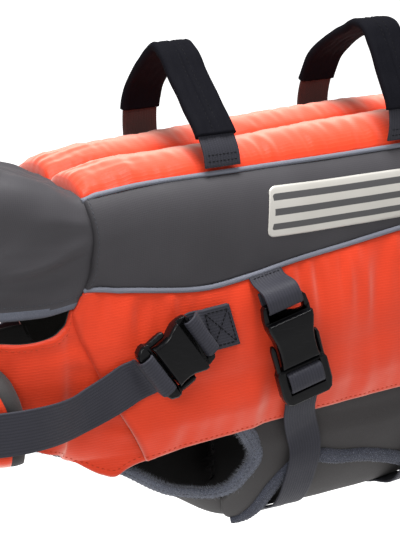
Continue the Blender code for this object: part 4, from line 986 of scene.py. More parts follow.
def shell(name, outer, inner, uv, edge, finish, nodes=(), lining=None):
    """A closed shell of cloth between two grids of points; the lining, if any, is the finish of its inner face."""
    rows, columns = outer.shape[:2]
    index = np.arange(rows * columns).reshape(rows, columns)
    low = index + rows * columns
    quads = np.stack([index[:-1, :-1], index[1:, :-1], index[1:, 1:], index[:-1, 1:]], axis=-1).reshape(-1, 4)
    backs = np.stack([low[:-1, :-1], low[:-1, 1:], low[1:, 1:], low[1:, :-1]], axis=-1).reshape(-1, 4)
    rim = [(i, 0) for i in range(rows)] + [(rows - 1, j) for j in range(1, columns)]
    rim += [(i, columns - 1) for i in range(rows - 2, -1, -1)] + [(0, j) for j in range(columns - 2, 0, -1)]
    walls = [(index[p], low[p], low[q], index[q]) for p, q in zip(rim, rim[1:] + rim[:1])]
    faces = as_faces((*quads, *backs, *walls))
    verts = np.concatenate([outer.reshape(-1, 3), inner.reshape(-1, 3)])
    flat, edge = np.asarray(uv).reshape(-1, 2), edge.ravel()
    made = keep_mesh(
        name, verts, faces, finish, np.concatenate([flat, flat]), np.concatenate([edge, edge]), nodes=nodes)
    if lining:
        made.data.materials.append(lining)
        made.data.polygons.foreach_set("material_index", [0] * len(quads) + [1] * (len(faces) - len(quads)))
    return made


# %% [markdown]
# ## Puckers and slack
# Stitching shortens the cloth a little, so small gathers run away from every seam, and slack cloth hangs in long
# soft waves. Both are noise that is stretched in one direction. A gather is nothing at the stitches, fullest a
# few millimetres off and gone after a couple of centimetres.

# %% Gathers and waves
def ripple(a, b, size_a, size_b, seed):
    """Smooth noise over a piece, from -1 to 1; its waves are about size_a by size_b."""
    flat = [noise.noise((p / size_a, q / size_b, seed)) for p, q in zip(a.ravel(), b.ravel())]
    return np.array(flat).reshape(a.shape) * 1.6


def gathers(along, away, pitch, reach, depth, seed):
    """Gathers that run away from a seam: this far apart, this deep where they are fullest, at reach from it."""
    share = away / reach
    return depth * ripple(along, away, pitch, 3.0 * reach, seed) * share * np.exp(1 - share)


def along_cut(points):
    """Coordinates of the flat cut: running lengths along rows and columns, from the piece's middle."""
    front, rear, top, bottom = edge_runs(points)
    return (front - rear) / 2, (top - bottom) / 2


def cloth_piece(name, base, low, high, finish, nodes, turn=0.0012, uv=None, lining=None):
    """A shell over a base grid with these heights of its two faces, its rim turned over this much."""
    normal = outward_normals(base)
    runs = edge_runs(base)
    edge = np.minimum.reduce(runs)
    top = low + (high - low) * (RIM_SHARE + (1 - RIM_SHARE) * rounding(edge, turn))
    u, v = along_cut(base) if uv is None else uv
    outer, inner = base + normal * top[..., None], base + normal * low[..., None]
    return shell(name, outer, inner, np.stack([u, v], axis=-1), edge, finish, nodes, lining)


def declared_sheet(piece, base, flat):
    """Prints the cut's area, from its grid and at most the given width times length, and its number of faces."""
    area = min(grid_area(base), 0.999 * flat[0] * flat[1])
    print(f"{piece.name}: cut of {area * 1e4:.0f} cm2, {len(piece.data.polygons)} faces")


# %% [markdown]
# ## Stitches
# A stitch is a short round-ended bar of thread that dips into the cloth at both ends. One is modelled as a tiny
# spindle, and a row of them is laid along any line of points. Real stitches cast real shadows, which no bump does.

# %% Rows of stitches
# Spindle: share of the way along the stitch, share of its full width there
SPINDLE = [(-0.5, 0.25), (-0.3, 0.85), (0.0, 1.0), (0.3, 0.85), (0.5, 0.25)]
SPINDLE_SIDES = 6


def stitches(name, lines, finish, pitch=0.003, length=0.0022, radius=0.0003):
    """Stitches along lines, each a pair of arrays: points, and the directions out of the cloth there."""
    verts, faces = [], []
    for points, ups in lines:
        points, ups = np.asarray(points, float), np.asarray(ups, float)
        run = run_along(points)
        for start in np.arange(pitch / 2, run[-1] - pitch / 2, pitch):
            here, ahead = (np.array([np.interp(start + step, run, c) for c in points.T]) for step in (0.0, 0.0006))
            up = np.array([np.interp(start, run, c) for c in ups.T])
            along = (ahead - here) / norm(ahead - here)
            up -= along * up.dot(along)
            up /= norm(up)
            across = np.cross(along, up)
            first = len(verts)
            for share, wide in SPINDLE:
                sink = -0.6 * (2 * share) ** 2
                for turn in range(SPINDLE_SIDES):
                    angle = turn * 2 * pi / SPINDLE_SIDES
                    verts.append(
                        here + along * share * length + up * radius * (sink + wide * sin(angle) * 0.8)
                        + across * radius * wide * cos(angle))
            rings = np.arange(first, len(verts)).reshape(-1, SPINDLE_SIDES)
            for ring, ahead_ring in zip(rings, rings[1:]):
                for turn in range(SPINDLE_SIDES):
                    after = (turn + 1) % SPINDLE_SIDES
                    faces.append((ring[turn], ring[after], ahead_ring[after], ahead_ring[turn]))
            faces += [rings[0][::-1], rings[-1]]
    keep_mesh(name, verts, as_faces(faces), finish)
    print(f"{name}: {len(verts) // (len(SPINDLE) * SPINDLE_SIDES)} stitches")


def seam_line(base, heights, row=None, column=None, lift=0.0):
    """A line on a piece's outer face, along one row or column of its grid, with the normals there."""
    where = (slice(None), column) if row is None else (row, slice(None))
    normal = outward_normals(base)[where]
    return base[where] + normal * (heights[where] + lift)[..., None], normal


# %% [markdown]
# ## The back pad
# Two long foam tubes lie beside a sewn channel. A cloth simulation could swell them, but the channel and the
# piping groove are narrower than its voxels, so here the fill is a formula and the cloth's slack is added on top:
# gathers along the channel and the side seams, and stronger ones where the front end is drawn in.

# %% Back pad
# The sewn channel between the tubes, depth and half width, and the pad's least thickness at its seams
CHANNEL_DEPTH, CHANNEL_WIDTH, LEAST_PAD = 0.0034, 0.0034, 0.0016


def laid(surface, places):
    """Points of a surface at these places, and grids of the places' two coordinates."""
    points = np.array([[surface(a, b) for a, b in line] for line in places])
    return points, *np.array(places).transpose(2, 0, 1)


def half_form(side):
    """The body form as a surface of x and s, down its right side for 1 and its left for -1."""
    return lambda x, s: body(x, side * s)


def height_of(rule, places):
    return np.array([[float(rule(a, b)) for a, b in line] for line in places])


def make_back_pad():
    columns, rows = counts(REAR_X - FRONT_X, 0.092)
    rows += rows % 2
    places = [
        [(x, (read(TOP_SEAM, x) - GAP / 2) * w) for w in 2 * steps(rows) - 1]
        for x in FRONT_X + (REAR_X - FRONT_X) * steps(columns)]
    base, x, s = laid(body, places)
    front, rear, left, right = edge_runs(base)
    side = np.minimum(left, right)
    high = height_of(pad_height, places)
    high += gathers(x, np.abs(s) + 0.0006, 0.0048, 0.007, 0.00042, 1.0)
    high += gathers(x, side, 0.006, 0.0075, 0.0007, 2.0)
    high += gathers(s, front, 0.0042, 0.011, 0.00085, 3.0) + gathers(s, rear, 0.006, 0.01, 0.0012, 4.0)
    slack = 0.0004 * ripple(x, s, 0.03, 0.02, 5.0) * rounding(np.minimum(side, front), 0.02)
    high += slack - CHANNEL_DEPTH * np.exp(-((s / CHANNEL_WIDTH) ** 2))
    piece = cloth_piece(
        "back_pad_cloth", base, 0.0 * high, np.maximum(high, LEAST_PAD), ORANGE, ["back_pad"],
        uv=(x, s), lining=MESH)
    middle = seam_line(base, high, column=rows // 2, lift=0.0002)
    stitches("back_pad_seam", [middle], ORANGE_THREAD, pitch=0.0034, length=0.0026)


make_back_pad()

# %% [markdown]
# ## Grey side panels
# A panel is thin, so it follows the form with slow waves and faint gathers at two of its seams. Both sides use one
# recipe with the sign of s changed. The noise is seeded per side, because two hand-sewn halves are never mirror
# images.

# %% Side panels
def panel_places(front, top, bottom, length, width):
    """Places of a piece between two seams, from its shaped front end to the straight rear."""
    columns, rows = counts(length, width)
    places = []
    for u in steps(columns):
        line = []
        for v in steps(rows):
            x = mix(front(v), REAR_X, u)
            line.append((x, mix(top(x), bottom(x), v)))
        places.append(line)
    return places


def panel_height(x, s, side):
    """Height of the grey panel's outer face, with its slow waves."""
    top, bottom = read(TOP_SEAM, x), read(LOWER_SEAM, x)
    v = min(max((s - top) / (bottom - top), 0.0), 1.0)
    away = min(s - top, bottom - s, x - FRONT_X, REAR_X - x)
    slack = 0.0011 * noise.noise((x / 0.04, s / 0.075, 7.0 + side))
    slack += 0.0004 * noise.noise((x / 0.016, s / 0.05, 17.0 + side))
    return side_panel_height(v) + slack * 1.5 * float(rounding(max(away, 0.0), 0.018))


def cells_in(distance, size, count):
    """The grid cells that this distance takes up, at least one, on a piece of this size and count."""
    return max(int(distance / (size / count)), 1)


def make_side_panel(name, side):
    places = panel_places(
        lambda v: read(SIDE_PANEL_FRONT, v),
        lambda x: read(TOP_SEAM, x) + GAP / 2, lambda x: read(LOWER_SEAM, x) - GAP / 2, REAR_X - FRONT_X, 0.058)
    base, x, s = laid(half_form(side), places)
    front, _, _, bottom = edge_runs(base)
    high = height_of(lambda a, b: panel_height(a, b, side), places)
    high += gathers(x, bottom, 0.011, 0.0065, 0.00035, 20.0 + side)
    high += gathers(s, front, 0.01, 0.008, 0.00045, 22.0 + side)
    piece = cloth_piece(
        f"side_panel_cloth_{name}", base, 0.0 * high, high, GREY, [f"side_panel_{name}"], uv=(x, s))
    declared_sheet(piece, base, (0.32, 0.066))
    return seam_line(base, high, row=cells_in(0.0035, 0.318, base.shape[0]), lift=0.0001)


# The two sides' names, and the sign of y there
SIDES = (("left", -1), ("right", 1))
stitches("side_panel_seams", [make_side_panel(*side) for side in SIDES], GREY_THREAD)

# %% [markdown]
# ## Orange side flaps
# The flap is a quilt of thin foam. It hangs from the lower seam, so the slack makes long waves from top to
# bottom, with gathers under the piping and smaller ones at the hem. A row of stitches holds the hem.

# %% Side flaps
def make_side_flap(name, side):
    places = panel_places(
        lambda v: read(FLAP_FRONT, v),
        lambda x: read(LOWER_SEAM, x) + GAP * 0.8, lambda x: read(FLAP_EDGE, x), 0.318, 0.112)
    base, x, s = laid(half_form(side), places)
    front, rear, top, bottom = edge_runs(base)
    low, high = height_of(flap_inner, places), height_of(flap_outer, places)
    middle = rounding(np.minimum.reduce([top, bottom, front, rear]), 0.025)
    high += 0.0007 * ripple(x, s, 0.014, 0.12, 31.0 + side) * middle
    high += 0.0011 * ripple(x + 0.3 * s, s, 0.034, 0.06, 33.0 + side) * middle
    high += gathers(x, top, 0.008, 0.013, 0.0013, 35.0 + side)
    high += gathers(x, bottom, 0.012, 0.01, 0.0007, 37.0 + side)
    high += gathers(s, front, 0.015, 0.007, 0.0005, 39.0 + side)
    piece = cloth_piece(
        f"side_flap_cloth_{name}", base, low, np.maximum(high, low + LEAST_CLOTH), ORANGE,
        [f"side_flap_{name}"], uv=(x, s), lining=MESH)
    return seam_line(base, high, column=-1 - cells_in(HEM_STITCHES, 0.112, base.shape[1]), lift=0.0001)


stitches("side_flap_hems", [make_side_flap(*side) for side in SIDES], ORANGE_THREAD, pitch=0.0036)

# %% [markdown]
# ## Bars, straps and trims
# Piping, tape and webbing are all one section swept along a path of frames: a point, the direction across and the
# direction up. The flat section has half-round edges, like real woven tape, and its coordinates run along and
# across, so ribs follow every bend. The path is resampled evenly first, which keeps tight loops round.

# %% Swept pieces
# Distance from its edge that a swept piece states, so no painted seam shade falls on it
NO_SEAM = 0.01


def frames(points, ups):
    """Middle point, direction across and normal at each point of a path."""
    found = []
    for i, point in enumerate(points):
        ahead = points[min(i + 1, len(points) - 1)] - points[max(i - 1, 0)]
        ahead = ahead / norm(ahead)
        up = ups[i] - ahead * float(np.dot(ups[i], ahead))
        up = up / norm(up)
        found.append((point, np.cross(up, ahead), up))
    return found


def resampled(path, step):
    """A path's points, across and up vectors about this far apart, and the running length at each."""
    points, across, up = (np.array([f[k] for f in path]) for k in range(3))
    run = run_along(points)
    rows = tuple(map(tuple, np.column_stack([run, points, across, up])))
    fine = np.array([read(rows, s) for s in np.linspace(0, run[-1], max(int(run[-1] / step), 12))])
    points, across, up = fine[:, :3], fine[:, 3:6], fine[:, 6:]
    up /= norm(up, axis=1, keepdims=True)
    across -= up * (across * up).sum(axis=1, keepdims=True)
    across /= norm(across, axis=1, keepdims=True)
    return points, across, up, run_along(points)


def flat_section(width, thickness, count=14):
    """Outline of a flat section with half-round edges: offsets across and up from the middle of its lower face."""
    edge = thickness / 2
    xs = np.linspace(-width / 2 + edge, width / 2 - edge, count)
    turns = np.radians([36, 72, 108, 144])
    right = [(width / 2 - edge + edge * sin(a), edge + edge * cos(a)) for a in turns]
    half = [(x, thickness) for x in xs] + right
    return np.array(half + [(-x, thickness - z) for x, z in half])


def ring_faces(stations, sides):
    """Point numbers round each ring of a tube, the same one point on, and the faces between rings."""
    index = np.arange(stations * sides).reshape(stations, sides)
    nxt = np.roll(index, -1, axis=1)
    return index, nxt, np.stack([index[:-1], nxt[:-1], nxt[1:], index[1:]], axis=-1).reshape(-1, 4)


def tube_marks(section, run, middle):
    """Coordinates of the cut along and across a tube, and which of its points lie under its middle."""
    shape = len(run), len(section)
    uv = np.stack([np.repeat(run[:, None], shape[1], axis=1), np.broadcast_to(section[:, 0], shape)], axis=-1)
    return uv.reshape(-1, 2), np.broadcast_to((section[:, 1] < middle).astype(float), shape).ravel()


def placed(points, across, up, offsets):
    return points[:, None] + across[:, None] * offsets[..., :1] + up[:, None] * offsets[..., 1:]


def lumps_on(run, sides, pitch, turn, seed):
    """Smooth noise over a tube, at each station and each point round it."""
    return np.array([[noise.noise((s / pitch, k * turn, seed)) for k in range(sides)] for s in run])


def swept(name, path, section, finish, nodes=(), step=0.0018, shape=None):
    """A section swept along a path and closed at both ends; shape may change the offsets at each station."""
    points, across, up, run = resampled(path, step)
    offsets = np.broadcast_to(section, (len(points), *section.shape)).copy()
    if shape is not None:
        offsets = shape(offsets, run)
    verts = placed(points, across, up, offsets).reshape(-1, 3)
    index, _, quads = ring_faces(len(points), len(section))
    faces = as_faces([*quads, index[0][::-1], index[-1]])
    uv, under = tube_marks(section, run, (section[:, 1].max() + section[:, 1].min()) / 2)
    edge = np.full(len(verts), NO_SEAM)
    return keep_mesh(name, verts, faces, finish, uv, edge, under, nodes), run[-1]


# %% [markdown]
# ## Piping
# Piping stands in the seams between pad, panel and flap. It is a cord in a folded tape, so the section is round
# and its surface slightly puckered. Both runs are a beaded grey, and their front ends tuck into the seam.

# %% Piping
# The two runs: name, seam, x of the front end; and how far that end sinks, over what length
PIPING_RUNS = (("top", TOP_SEAM, FRONT_X), ("lower", LOWER_SEAM, -0.16))
PIPING_TUCK, PIPING_TUCK_RUN = 0.003, 0.009


def round_section(half_width, half_thickness, count=16):
    turns = 2 * pi * np.arange(count) / count
    return np.stack([half_width * np.cos(turns), half_thickness * np.sin(turns)], axis=-1)


def make_piping(name, seam, front, side):
    lift = SEAM_HEIGHT + PIPING_RADIUS - 0.0012
    points = []
    for x in front + (REAR_X - front) * np.linspace(0, 1, 60) ** 1.2:
        tuck = PIPING_TUCK * (1 - smooth((x - front) / PIPING_TUCK_RUN))
        points.append(raised(body, x, side * read(seam, x), lift - tuck))
    path = frames(points, [np.array([0.0, p[1], p[2] + 0.06]) for p in points])

    def puckered(offsets, run):
        swell = np.array([1 + 0.05 * noise.noise((s / 0.004, 3.0, side)) for s in run])
        return offsets * swell[:, None, None]

    section = round_section(PIPING_RADIUS, PIPING_RADIUS)
    swept(name + "_cord", path, section, PIPING_FINISH, [name], shape=puckered)


for name, side in SIDES:
    for level, seam, front in PIPING_RUNS:
        make_piping(f"piping_{level}_{name}", seam, front, side)

# %% [markdown]
# ## The belly band
# Foam rubber bends in wide smooth curves and hardly wrinkles. The wings and the belly panel run into their edge
# tape, as the real ones do, so no slit shows between them. Only a few slow waves show that they are soft.

# %% Wings and belly panel
def make_wing(name, side):
    columns, rows = counts(0.18, 0.075)
    places = [[wing_place(u, v, RUBBER_INSET) for v in steps(rows)] for u in steps(columns)]
    base, x, s = laid(half_form(side), places)
    low = height_of(wing_lift, places)
    wave = 0.0006 * ripple(x, s, 0.03, 0.05, 41.0 + side) * rounding(np.minimum.reduce(edge_runs(base)), 0.02)
    piece = cloth_piece(
        f"belly_wing_cloth_{name}", base, low, low + NEOPRENE + wave, LINING, [f"belly_wing_{name}"])
    declared_sheet(piece, base, (0.195, 0.13))


def make_belly_panel():
    columns, rows = counts(0.36, 0.13)
    places = []
    for u in steps(columns):
        line = []
        for w in 2 * steps(rows) - 1:
            x = mix(belly_front_x(w * 0.012), BELLY_WIDTH[-1][0], u)
            line.append((x, w * (read(BELLY_WIDTH, x) - RUBBER_INSET)))
        places.append(line)
    base, x, s = laid(keel_form, places)
    wave = 0.0005 * ripple(x, s, 0.035, 0.035, 44.0) * rounding(np.minimum.reduce(edge_runs(base)), 0.02)
    piece = cloth_piece("belly_panel_cloth", base, 0.0 * x, NEOPRENE + wave, LINING, ["belly_panel"])
    declared_sheet(piece, base, (0.362, 0.15))


for name, side in SIDES:
    make_wing(name, side)
make_belly_panel()

# %% [markdown]
# ## Brushed edge tape
# The tape folds over the foam rubber's edge and is sewn through. Its brushed surface is thousands of fibres.
# Bump gives their grain, but only real fibres give the soft outline against the dark hollow, so thin spikes
# are scattered over the tape with a seeded random generator, each one a closed sliver with four faces.

# %% Edge tape and its fibres
# Fibres on one tape, their half width, and how much more they lean towards the hole for each metre of length
FIBRE_COUNT = 6500
FIBRE_RADIUS = 0.0001
FIBRE_SWEEP = 400


def fibres(name, path, half_width, half_thickness, longest, seed):
    """Short spikes on a swept tape, which lean towards the middle of the hole that it edges."""
    count, rng = FIBRE_COUNT, np.random.default_rng(seed)
    points, across, up, _ = resampled(path, 0.0015)
    at = rng.integers(0, len(points) - 1, count)
    turn = rng.uniform(0, 2 * pi, count)
    side = across[at] * np.cos(turn)[:, None]
    rise = up[at] * np.sin(turn)[:, None]
    slide = (points[at + 1] - points[at]) * rng.uniform(0, 1, count)[:, None]
    root = points[at] + slide + side * half_width * 0.97 + rise * half_thickness * 0.97
    out = side / half_width + rise / half_thickness
    out /= norm(out, axis=1, keepdims=True)
    pull = points.mean(axis=0) - root
    pull *= FIBRE_SWEEP * longest / norm(pull, axis=1, keepdims=True)
    lean = out + rng.normal(0, 0.5, (count, 3)) + pull
    lean /= norm(lean, axis=1, keepdims=True)
    reach = longest * rng.uniform(0.3, 1.0, count)[:, None] ** 1.5
    flat = np.cross(lean, out + 1e-3)
    flat /= norm(flat, axis=1, keepdims=True)
    other = np.cross(lean, flat) * FIBRE_RADIUS
    flat = flat * FIBRE_RADIUS
    verts = np.stack([root + flat, root - 0.5 * flat + other, root - 0.5 * flat - other, root + lean * reach], axis=1)
    first = 4 * np.arange(count)[:, None]
    faces = np.concatenate([first + np.array(f) for f in ((0, 2, 1), (0, 1, 3), (1, 2, 3), (2, 0, 3))])
    keep_mesh(name, verts.reshape(-1, 3), as_faces(faces), HAIR)
    print(f"{name}: {count} fibres")


def make_tape(name, path, seed, finish, longest):
    half, thick = BINDING_WIDTH / 2, BINDING_THICKNESS / 2

    def lumpy(offsets, run):
        return offsets * (1 + 0.05 * lumps_on(run, offsets.shape[1], 0.005, 0.7, seed)[..., None])

    swept(name + "_tape", path, round_section(half, thick, 20), finish, [name], shape=lumpy)
    fibres(name + "_nap", path, half, thick, longest, seed)
    points, across, up, _ = resampled(path, 0.002)
    return [(points + across * half * 0.45 * k + up * thick * 0.92, up) for k in (-1, 1)]


def body_strap(rows, side, count):
    """Frames of a strap over the body: rows of x, s, height of its lower face."""
    points, ups = [], []
    for x, s, height in trace(rows, count):
        here, up = stood_off(body, x, side * s, height)
        points.append(here), ups.append(up)
    return frames(points, ups)


def eased(rows, times):
    """The same rows, each drawn this many times towards its two neighbours."""
    for _ in range(times):
        rows[1:-1] = (rows[:-2] + 2 * rows[1:-1] + rows[2:]) / 4
    return rows


tape_lines = []
for name, side in SIDES:
    rows = eased(trace(trace(leg_binding_path(side), 61)[::4], 60), 3)
    tape_lines += make_tape(f"leg_binding_{name}", frames(rows[:, :3], rows[:, 3:]), 51 + side, BRUSHED, 0.004)
    rows = [(*wing_edge(u, BINDING_WIDTH / 2), WING_LIFT + BINDING_THICKNESS / 2) for u in np.linspace(0.17, 1.0, 30)]
    tape_lines += make_tape(f"wing_binding_{name}", body_strap(rows, side, 60), 55 + side, DARK_TAPE, 0.0012)
stitches("tape_stitching", tape_lines, GREY_THREAD, pitch=0.0034, length=0.0024, radius=0.00028)

# %% [markdown]
# ## Chest closure
# The bib wraps from the left flap round the front, and a tab from the right flap passes under it. Both start a
# few millimetres under the flap, where the seam allowance is. Soft folds run down from the strap's pull.

# %% Bib and tab
@cache
def crease(v):
    """The flap's front edge at this share of the way down: distance round the wrap, and height z."""
    x = read(FLAP_FRONT, v)
    s = mix(read(LOWER_SEAM, x), read(FLAP_EDGE, x), v)
    return wrap_t(x - GAP), float(body(x, s)[2])


def make_chest_piece(name, edges, front_t, side, first_v, lift, width, flat):
    """A piece from the flap's front edge, from this share of the way down, round the chest to front_t."""
    columns, rows = counts(0.165, width)
    places, low, high = [], [], []
    for u in steps(columns, 1.1):
        line, bottom, top = [], [], []
        for v in steps(rows):
            rear_t, rear_z = crease(round(first_v + (1 - first_v) * v, 4))
            t = mix(side * (rear_t + 0.003 + 0.006 * v**2), front_t, u)
            off = rear_z - mix(*read(edges, side * rear_t), v)
            z = mix(*read(edges, t), v)
            z += off * (1 - smooth(u / (0.45 - 0.2 * v))) - 0.005 * v**3 * (1 - smooth(u / 0.3))
            base = lift * smooth((0.05 - side * t) / 0.02)
            line.append((t, z))
            bottom.append(base)
            top.append(base + NEOPRENE + 0.0008 + 0.0012 * sin(pi * v) * sin(pi * u))
        places.append(line), low.append(bottom), high.append(top)
    base, t, z = laid(wrap, places)
    low, high = np.array(low), np.array(high)
    rear, _, top, bottom = edge_runs(base)
    free = rounding(np.minimum(top, bottom), 0.016)
    high += 0.001 * ripple(t, z, 0.012, 0.06, 61.0 + side) * free
    high += 0.0008 * ripple(t, z, 0.03, 0.028, 63.0 + side) * free
    high += gathers(z, rear, 0.009, 0.008, 0.0006, 65.0 + side)
    high += gathers(t, top, 0.01, 0.007, 0.00045, 67.0 + side)
    piece = cloth_piece(
        name + "_cloth", base, low, np.maximum(high, low + LEAST_CLOTH), ORANGE, [name],
        uv=(t, z), lining=LINING)
    declared_sheet(piece, base, flat)
    inset = cells_in(HEM_STITCHES, width, base.shape[1])
    return [seam_line(base, high, column=k, lift=0.0001) for k in (inset, -1 - inset)]


bib_lines = make_chest_piece("chest_bib", BIB_EDGES, BIB_FRONT_T, -1, 0.0, NEOPRENE + 0.0026, 0.09, (0.185, 0.118))
bib_lines += make_chest_piece("chest_tab", TAB_EDGES, TAB_FRONT_T, 1, 0.42, 0.0, 0.055, (0.2, 0.075))
stitches("chest_stitching", bib_lines, ORANGE_THREAD, pitch=0.0036)

# %% [markdown]
# ## Neck collar
# The collar is a curved band whose ends overlap under the throat. It hangs in long shallow folds that run with
# the neck, and its lower edge is bound with a paler tape. The tape is a step in the fill and a second finish on
# the faces near the edge.

# %% Collar
# Width of the bound hem, and the distance of its stitches from the edge
COLLAR_HEM, COLLAR_STITCHES = 0.0068, 0.0078


def collar_rear_x(s):
    """x of the edges that the collar is sewn to, at this distance round the body."""
    seam = read(TOP_SEAM, FRONT_X)
    if abs(s) <= seam:
        return FRONT_X - 2 * GAP
    seam_xs, seam_ss = zip(*LOWER_SEAM[3::-1])
    corner_s = seam_ss[0]
    if abs(s) > corner_s:
        return float(np.interp(abs(s), seam_ss, seam_xs)) - 2 * GAP
    v = (abs(s) - seam) / (corner_s - seam)
    return min(read(SIDE_PANEL_FRONT, v), WRAP_X - 0.001) - 3 * GAP


def rear_angle(s):
    reach = max(WRAP_X - 0.003 - collar_rear_x(s), 0.0) / WRAP_LENGTH
    return degrees(asin(reach ** (1 / WRAP_POWER)))


def make_collar():
    columns, rows = counts(0.24, 0.1)
    places = []
    for a in 2 * steps(columns) - 1:
        s = a * HEM_S
        start, end = rear_angle(s), read(NECK_EDGE, abs(a))
        places.append([(start + (end - start) * w, s) for w in steps(rows)])
    base, angle, s = laid(neck, places)
    over = np.where(s < 0, (NEOPRENE + GAP) * np.clip((angle - 58) / 20, 0, 1) ** 2, 0.0)
    left, right, rear, front = edge_runs(base)
    band = np.minimum(left, right) < COLLAR_HEM
    high = over + NEOPRENE + 0.0005 * band
    free = rounding(np.minimum.reduce([left, right, front, rear]), 0.025)
    high += 0.0012 * ripple(front, s, 0.06, 0.01, 71.0) * free
    high += 0.002 * ripple(front, s, 0.035, 0.03, 73.0) * free
    high += gathers(s, rear, 0.008, 0.009, 0.0006, 75.0)
    piece = cloth_piece("neck_collar_cloth", base, over, high, GREY, ["neck_collar"])
    piece.data.materials.append(HEM)
    banded = np.concatenate([band.ravel(), band.ravel()])
    for polygon in piece.data.polygons:
        polygon.material_index = int(all(banded[v] for v in polygon.vertices))
    declared_sheet(piece, base, (0.25, 0.12))
    inset = int(np.argmax(left[:, rows // 2] > COLLAR_STITCHES))
    lines = [seam_line(base, high, row=k, lift=0.0001) for k in (inset, columns - inset)]
    stitches("collar_stitching", lines, GREY_THREAD, pitch=0.0034)


make_collar()

# %% [markdown]
# ## Front float
# The float is a foam block in a cover with a gusset. The front face is orange, the gusset and the top are the
# brownish lining cloth, and the face is full in the middle and drawn down along its seams.

# %% Front float
# Thickness of the float at its rim, and the share of its fullness at which the orange face begins
FLOAT_RIM = 0.004
FACE_SEAM = 0.93


def make_float():
    columns, rows = counts(0.15, 0.075)
    lift = 2 * (NEOPRENE + 0.0014) + 3 * GAP + 0.0018
    height = FLOAT_EDGES[0][2] - FLOAT_EDGES[-1][2]
    places, high, face = [], [], []
    for w in steps(columns):
        line, top, mask = [], [], []
        for q in steps(rows):
            v = 0.5 - 0.5 * cos(pi * q)
            half, z = read(FLOAT_EDGES, v)
            t = half * sin(pi * (w - 0.5))
            ends, sides = float(rounding(half - abs(t), 0.012)), float(rounding(min(v, 1 - v) * height, 0.01))
            line.append((t, z))
            top.append(lift + FLOAT_RIM + (FLOAT_THICKNESS - FLOAT_RIM) * ends * sides)
            mask.append(min(ends, sides if v < 0.4 else 1.0))
        places.append(line), high.append(top), face.append(mask)
    base, t, z = laid(wrap, places)
    high, face = np.array(high), np.array(face)
    slack = 0.001 * ripple(t, z, 0.012, 0.02, 81.0) + 0.0012 * ripple(t, z, 0.035, 0.03, 83.0)
    high += slack * face - 0.0006 * np.exp(-((face - FACE_SEAM) / 0.02) ** 2)
    piece = cloth_piece(
        "front_float_cover", base, 0.0 * high + lift, high, ORANGE, ["front_float"], turn=0.0006)
    piece.data.materials.append(LINING)
    shown = np.concatenate([face.ravel(), 0.0 * face.ravel()])
    for polygon in piece.data.polygons:
        polygon.material_index = int(np.mean([shown[v] for v in polygon.vertices]) < FACE_SEAM)


make_float()

# %% [markdown]
# ## Grab handles
# Each handle is a loop of webbing sewn under the piping, with a foam rubber sleeve round its middle. The sleeve
# is a flat tube whose long edges meet in a seam along the top, and its two mouths stand a little open. The loops
# lean and bend as webbing does when it has been gripped.

# %% Handle loops
# Handles: middle x, and y, z of the webbing's middle line from left to right
HANDLES = {
    "front": (-0.067, (
        (-0.05, 0.0022), (-0.0475, 0.012), (-0.041, 0.0215), (-0.025, 0.0365), (-0.008, 0.0525),
        (0.004, 0.064), (0.011, 0.067), (0.0185, 0.0625), (0.035, 0.048), (0.0455, 0.0355),
        (0.05, 0.024), (0.051, 0.012), (0.05, 0.0022))),
    "rear": (0.067, (
        (-0.05, 0.004), (-0.052, 0.014), (-0.0505, 0.027), (-0.04, 0.046), (-0.029, 0.064),
        (-0.022, 0.0725), (-0.014, 0.074), (0.0, 0.068), (0.018, 0.059), (0.0365, 0.045),
        (0.0445, 0.032), (0.05, 0.014), (0.05, 0.004))),
}
SLEEVE_THICKNESS = 0.0018
# The grip's two ends as shares of the loop, and how many parts a loop is divided into for webbing and grip
SLEEVE_SPANS = {"front": (0.117, 0.885), "rear": (0.11, 0.87)}
WEBBING_PARTS, GRIP_PARTS = 139, 160
# Stations of the stitched rows, counted from the two ends of the webbing
HANDLE_ROWS = (2, 4, -3, -5)


def handle_frames(x, line, parts):
    flat = trace(line, parts + 1)
    points = [np.array([x, y, z]) for y, z in flat]
    centre = np.array([x, 0.0, 0.01])
    return frames(points, [p - centre for p in points])


def cross_rows(path, step, stations, width):
    """A short row of stitches across the webbing at each of these stations."""
    points, across, up, _ = resampled(path, step)
    places = np.linspace(-0.42, 0.42, 8)[:, None]
    return [
        (points[at] + across[at] * width * places + up[at] * (WEBBING + 0.0001), np.repeat(up[at][None], 8, axis=0))
        for at in stations]


def make_handle(name, x, line):
    path = handle_frames(x, line, WEBBING_PARTS)[1:-1]
    piece, length = swept(
        f"handle_webbing_{name}", path, flat_section(WEBBING_WIDTH, WEBBING), HANDLE_WEB, [f"handle_{name}"])
    return cross_rows(path, 0.0018, HANDLE_ROWS, WEBBING_WIDTH)


handle_lines = []
for name, (x, line) in HANDLES.items():
    handle_lines += make_handle(name, x, line)
stitches("handle_stitching", handle_lines, BLACK_THREAD, pitch=0.0026, length=0.002)

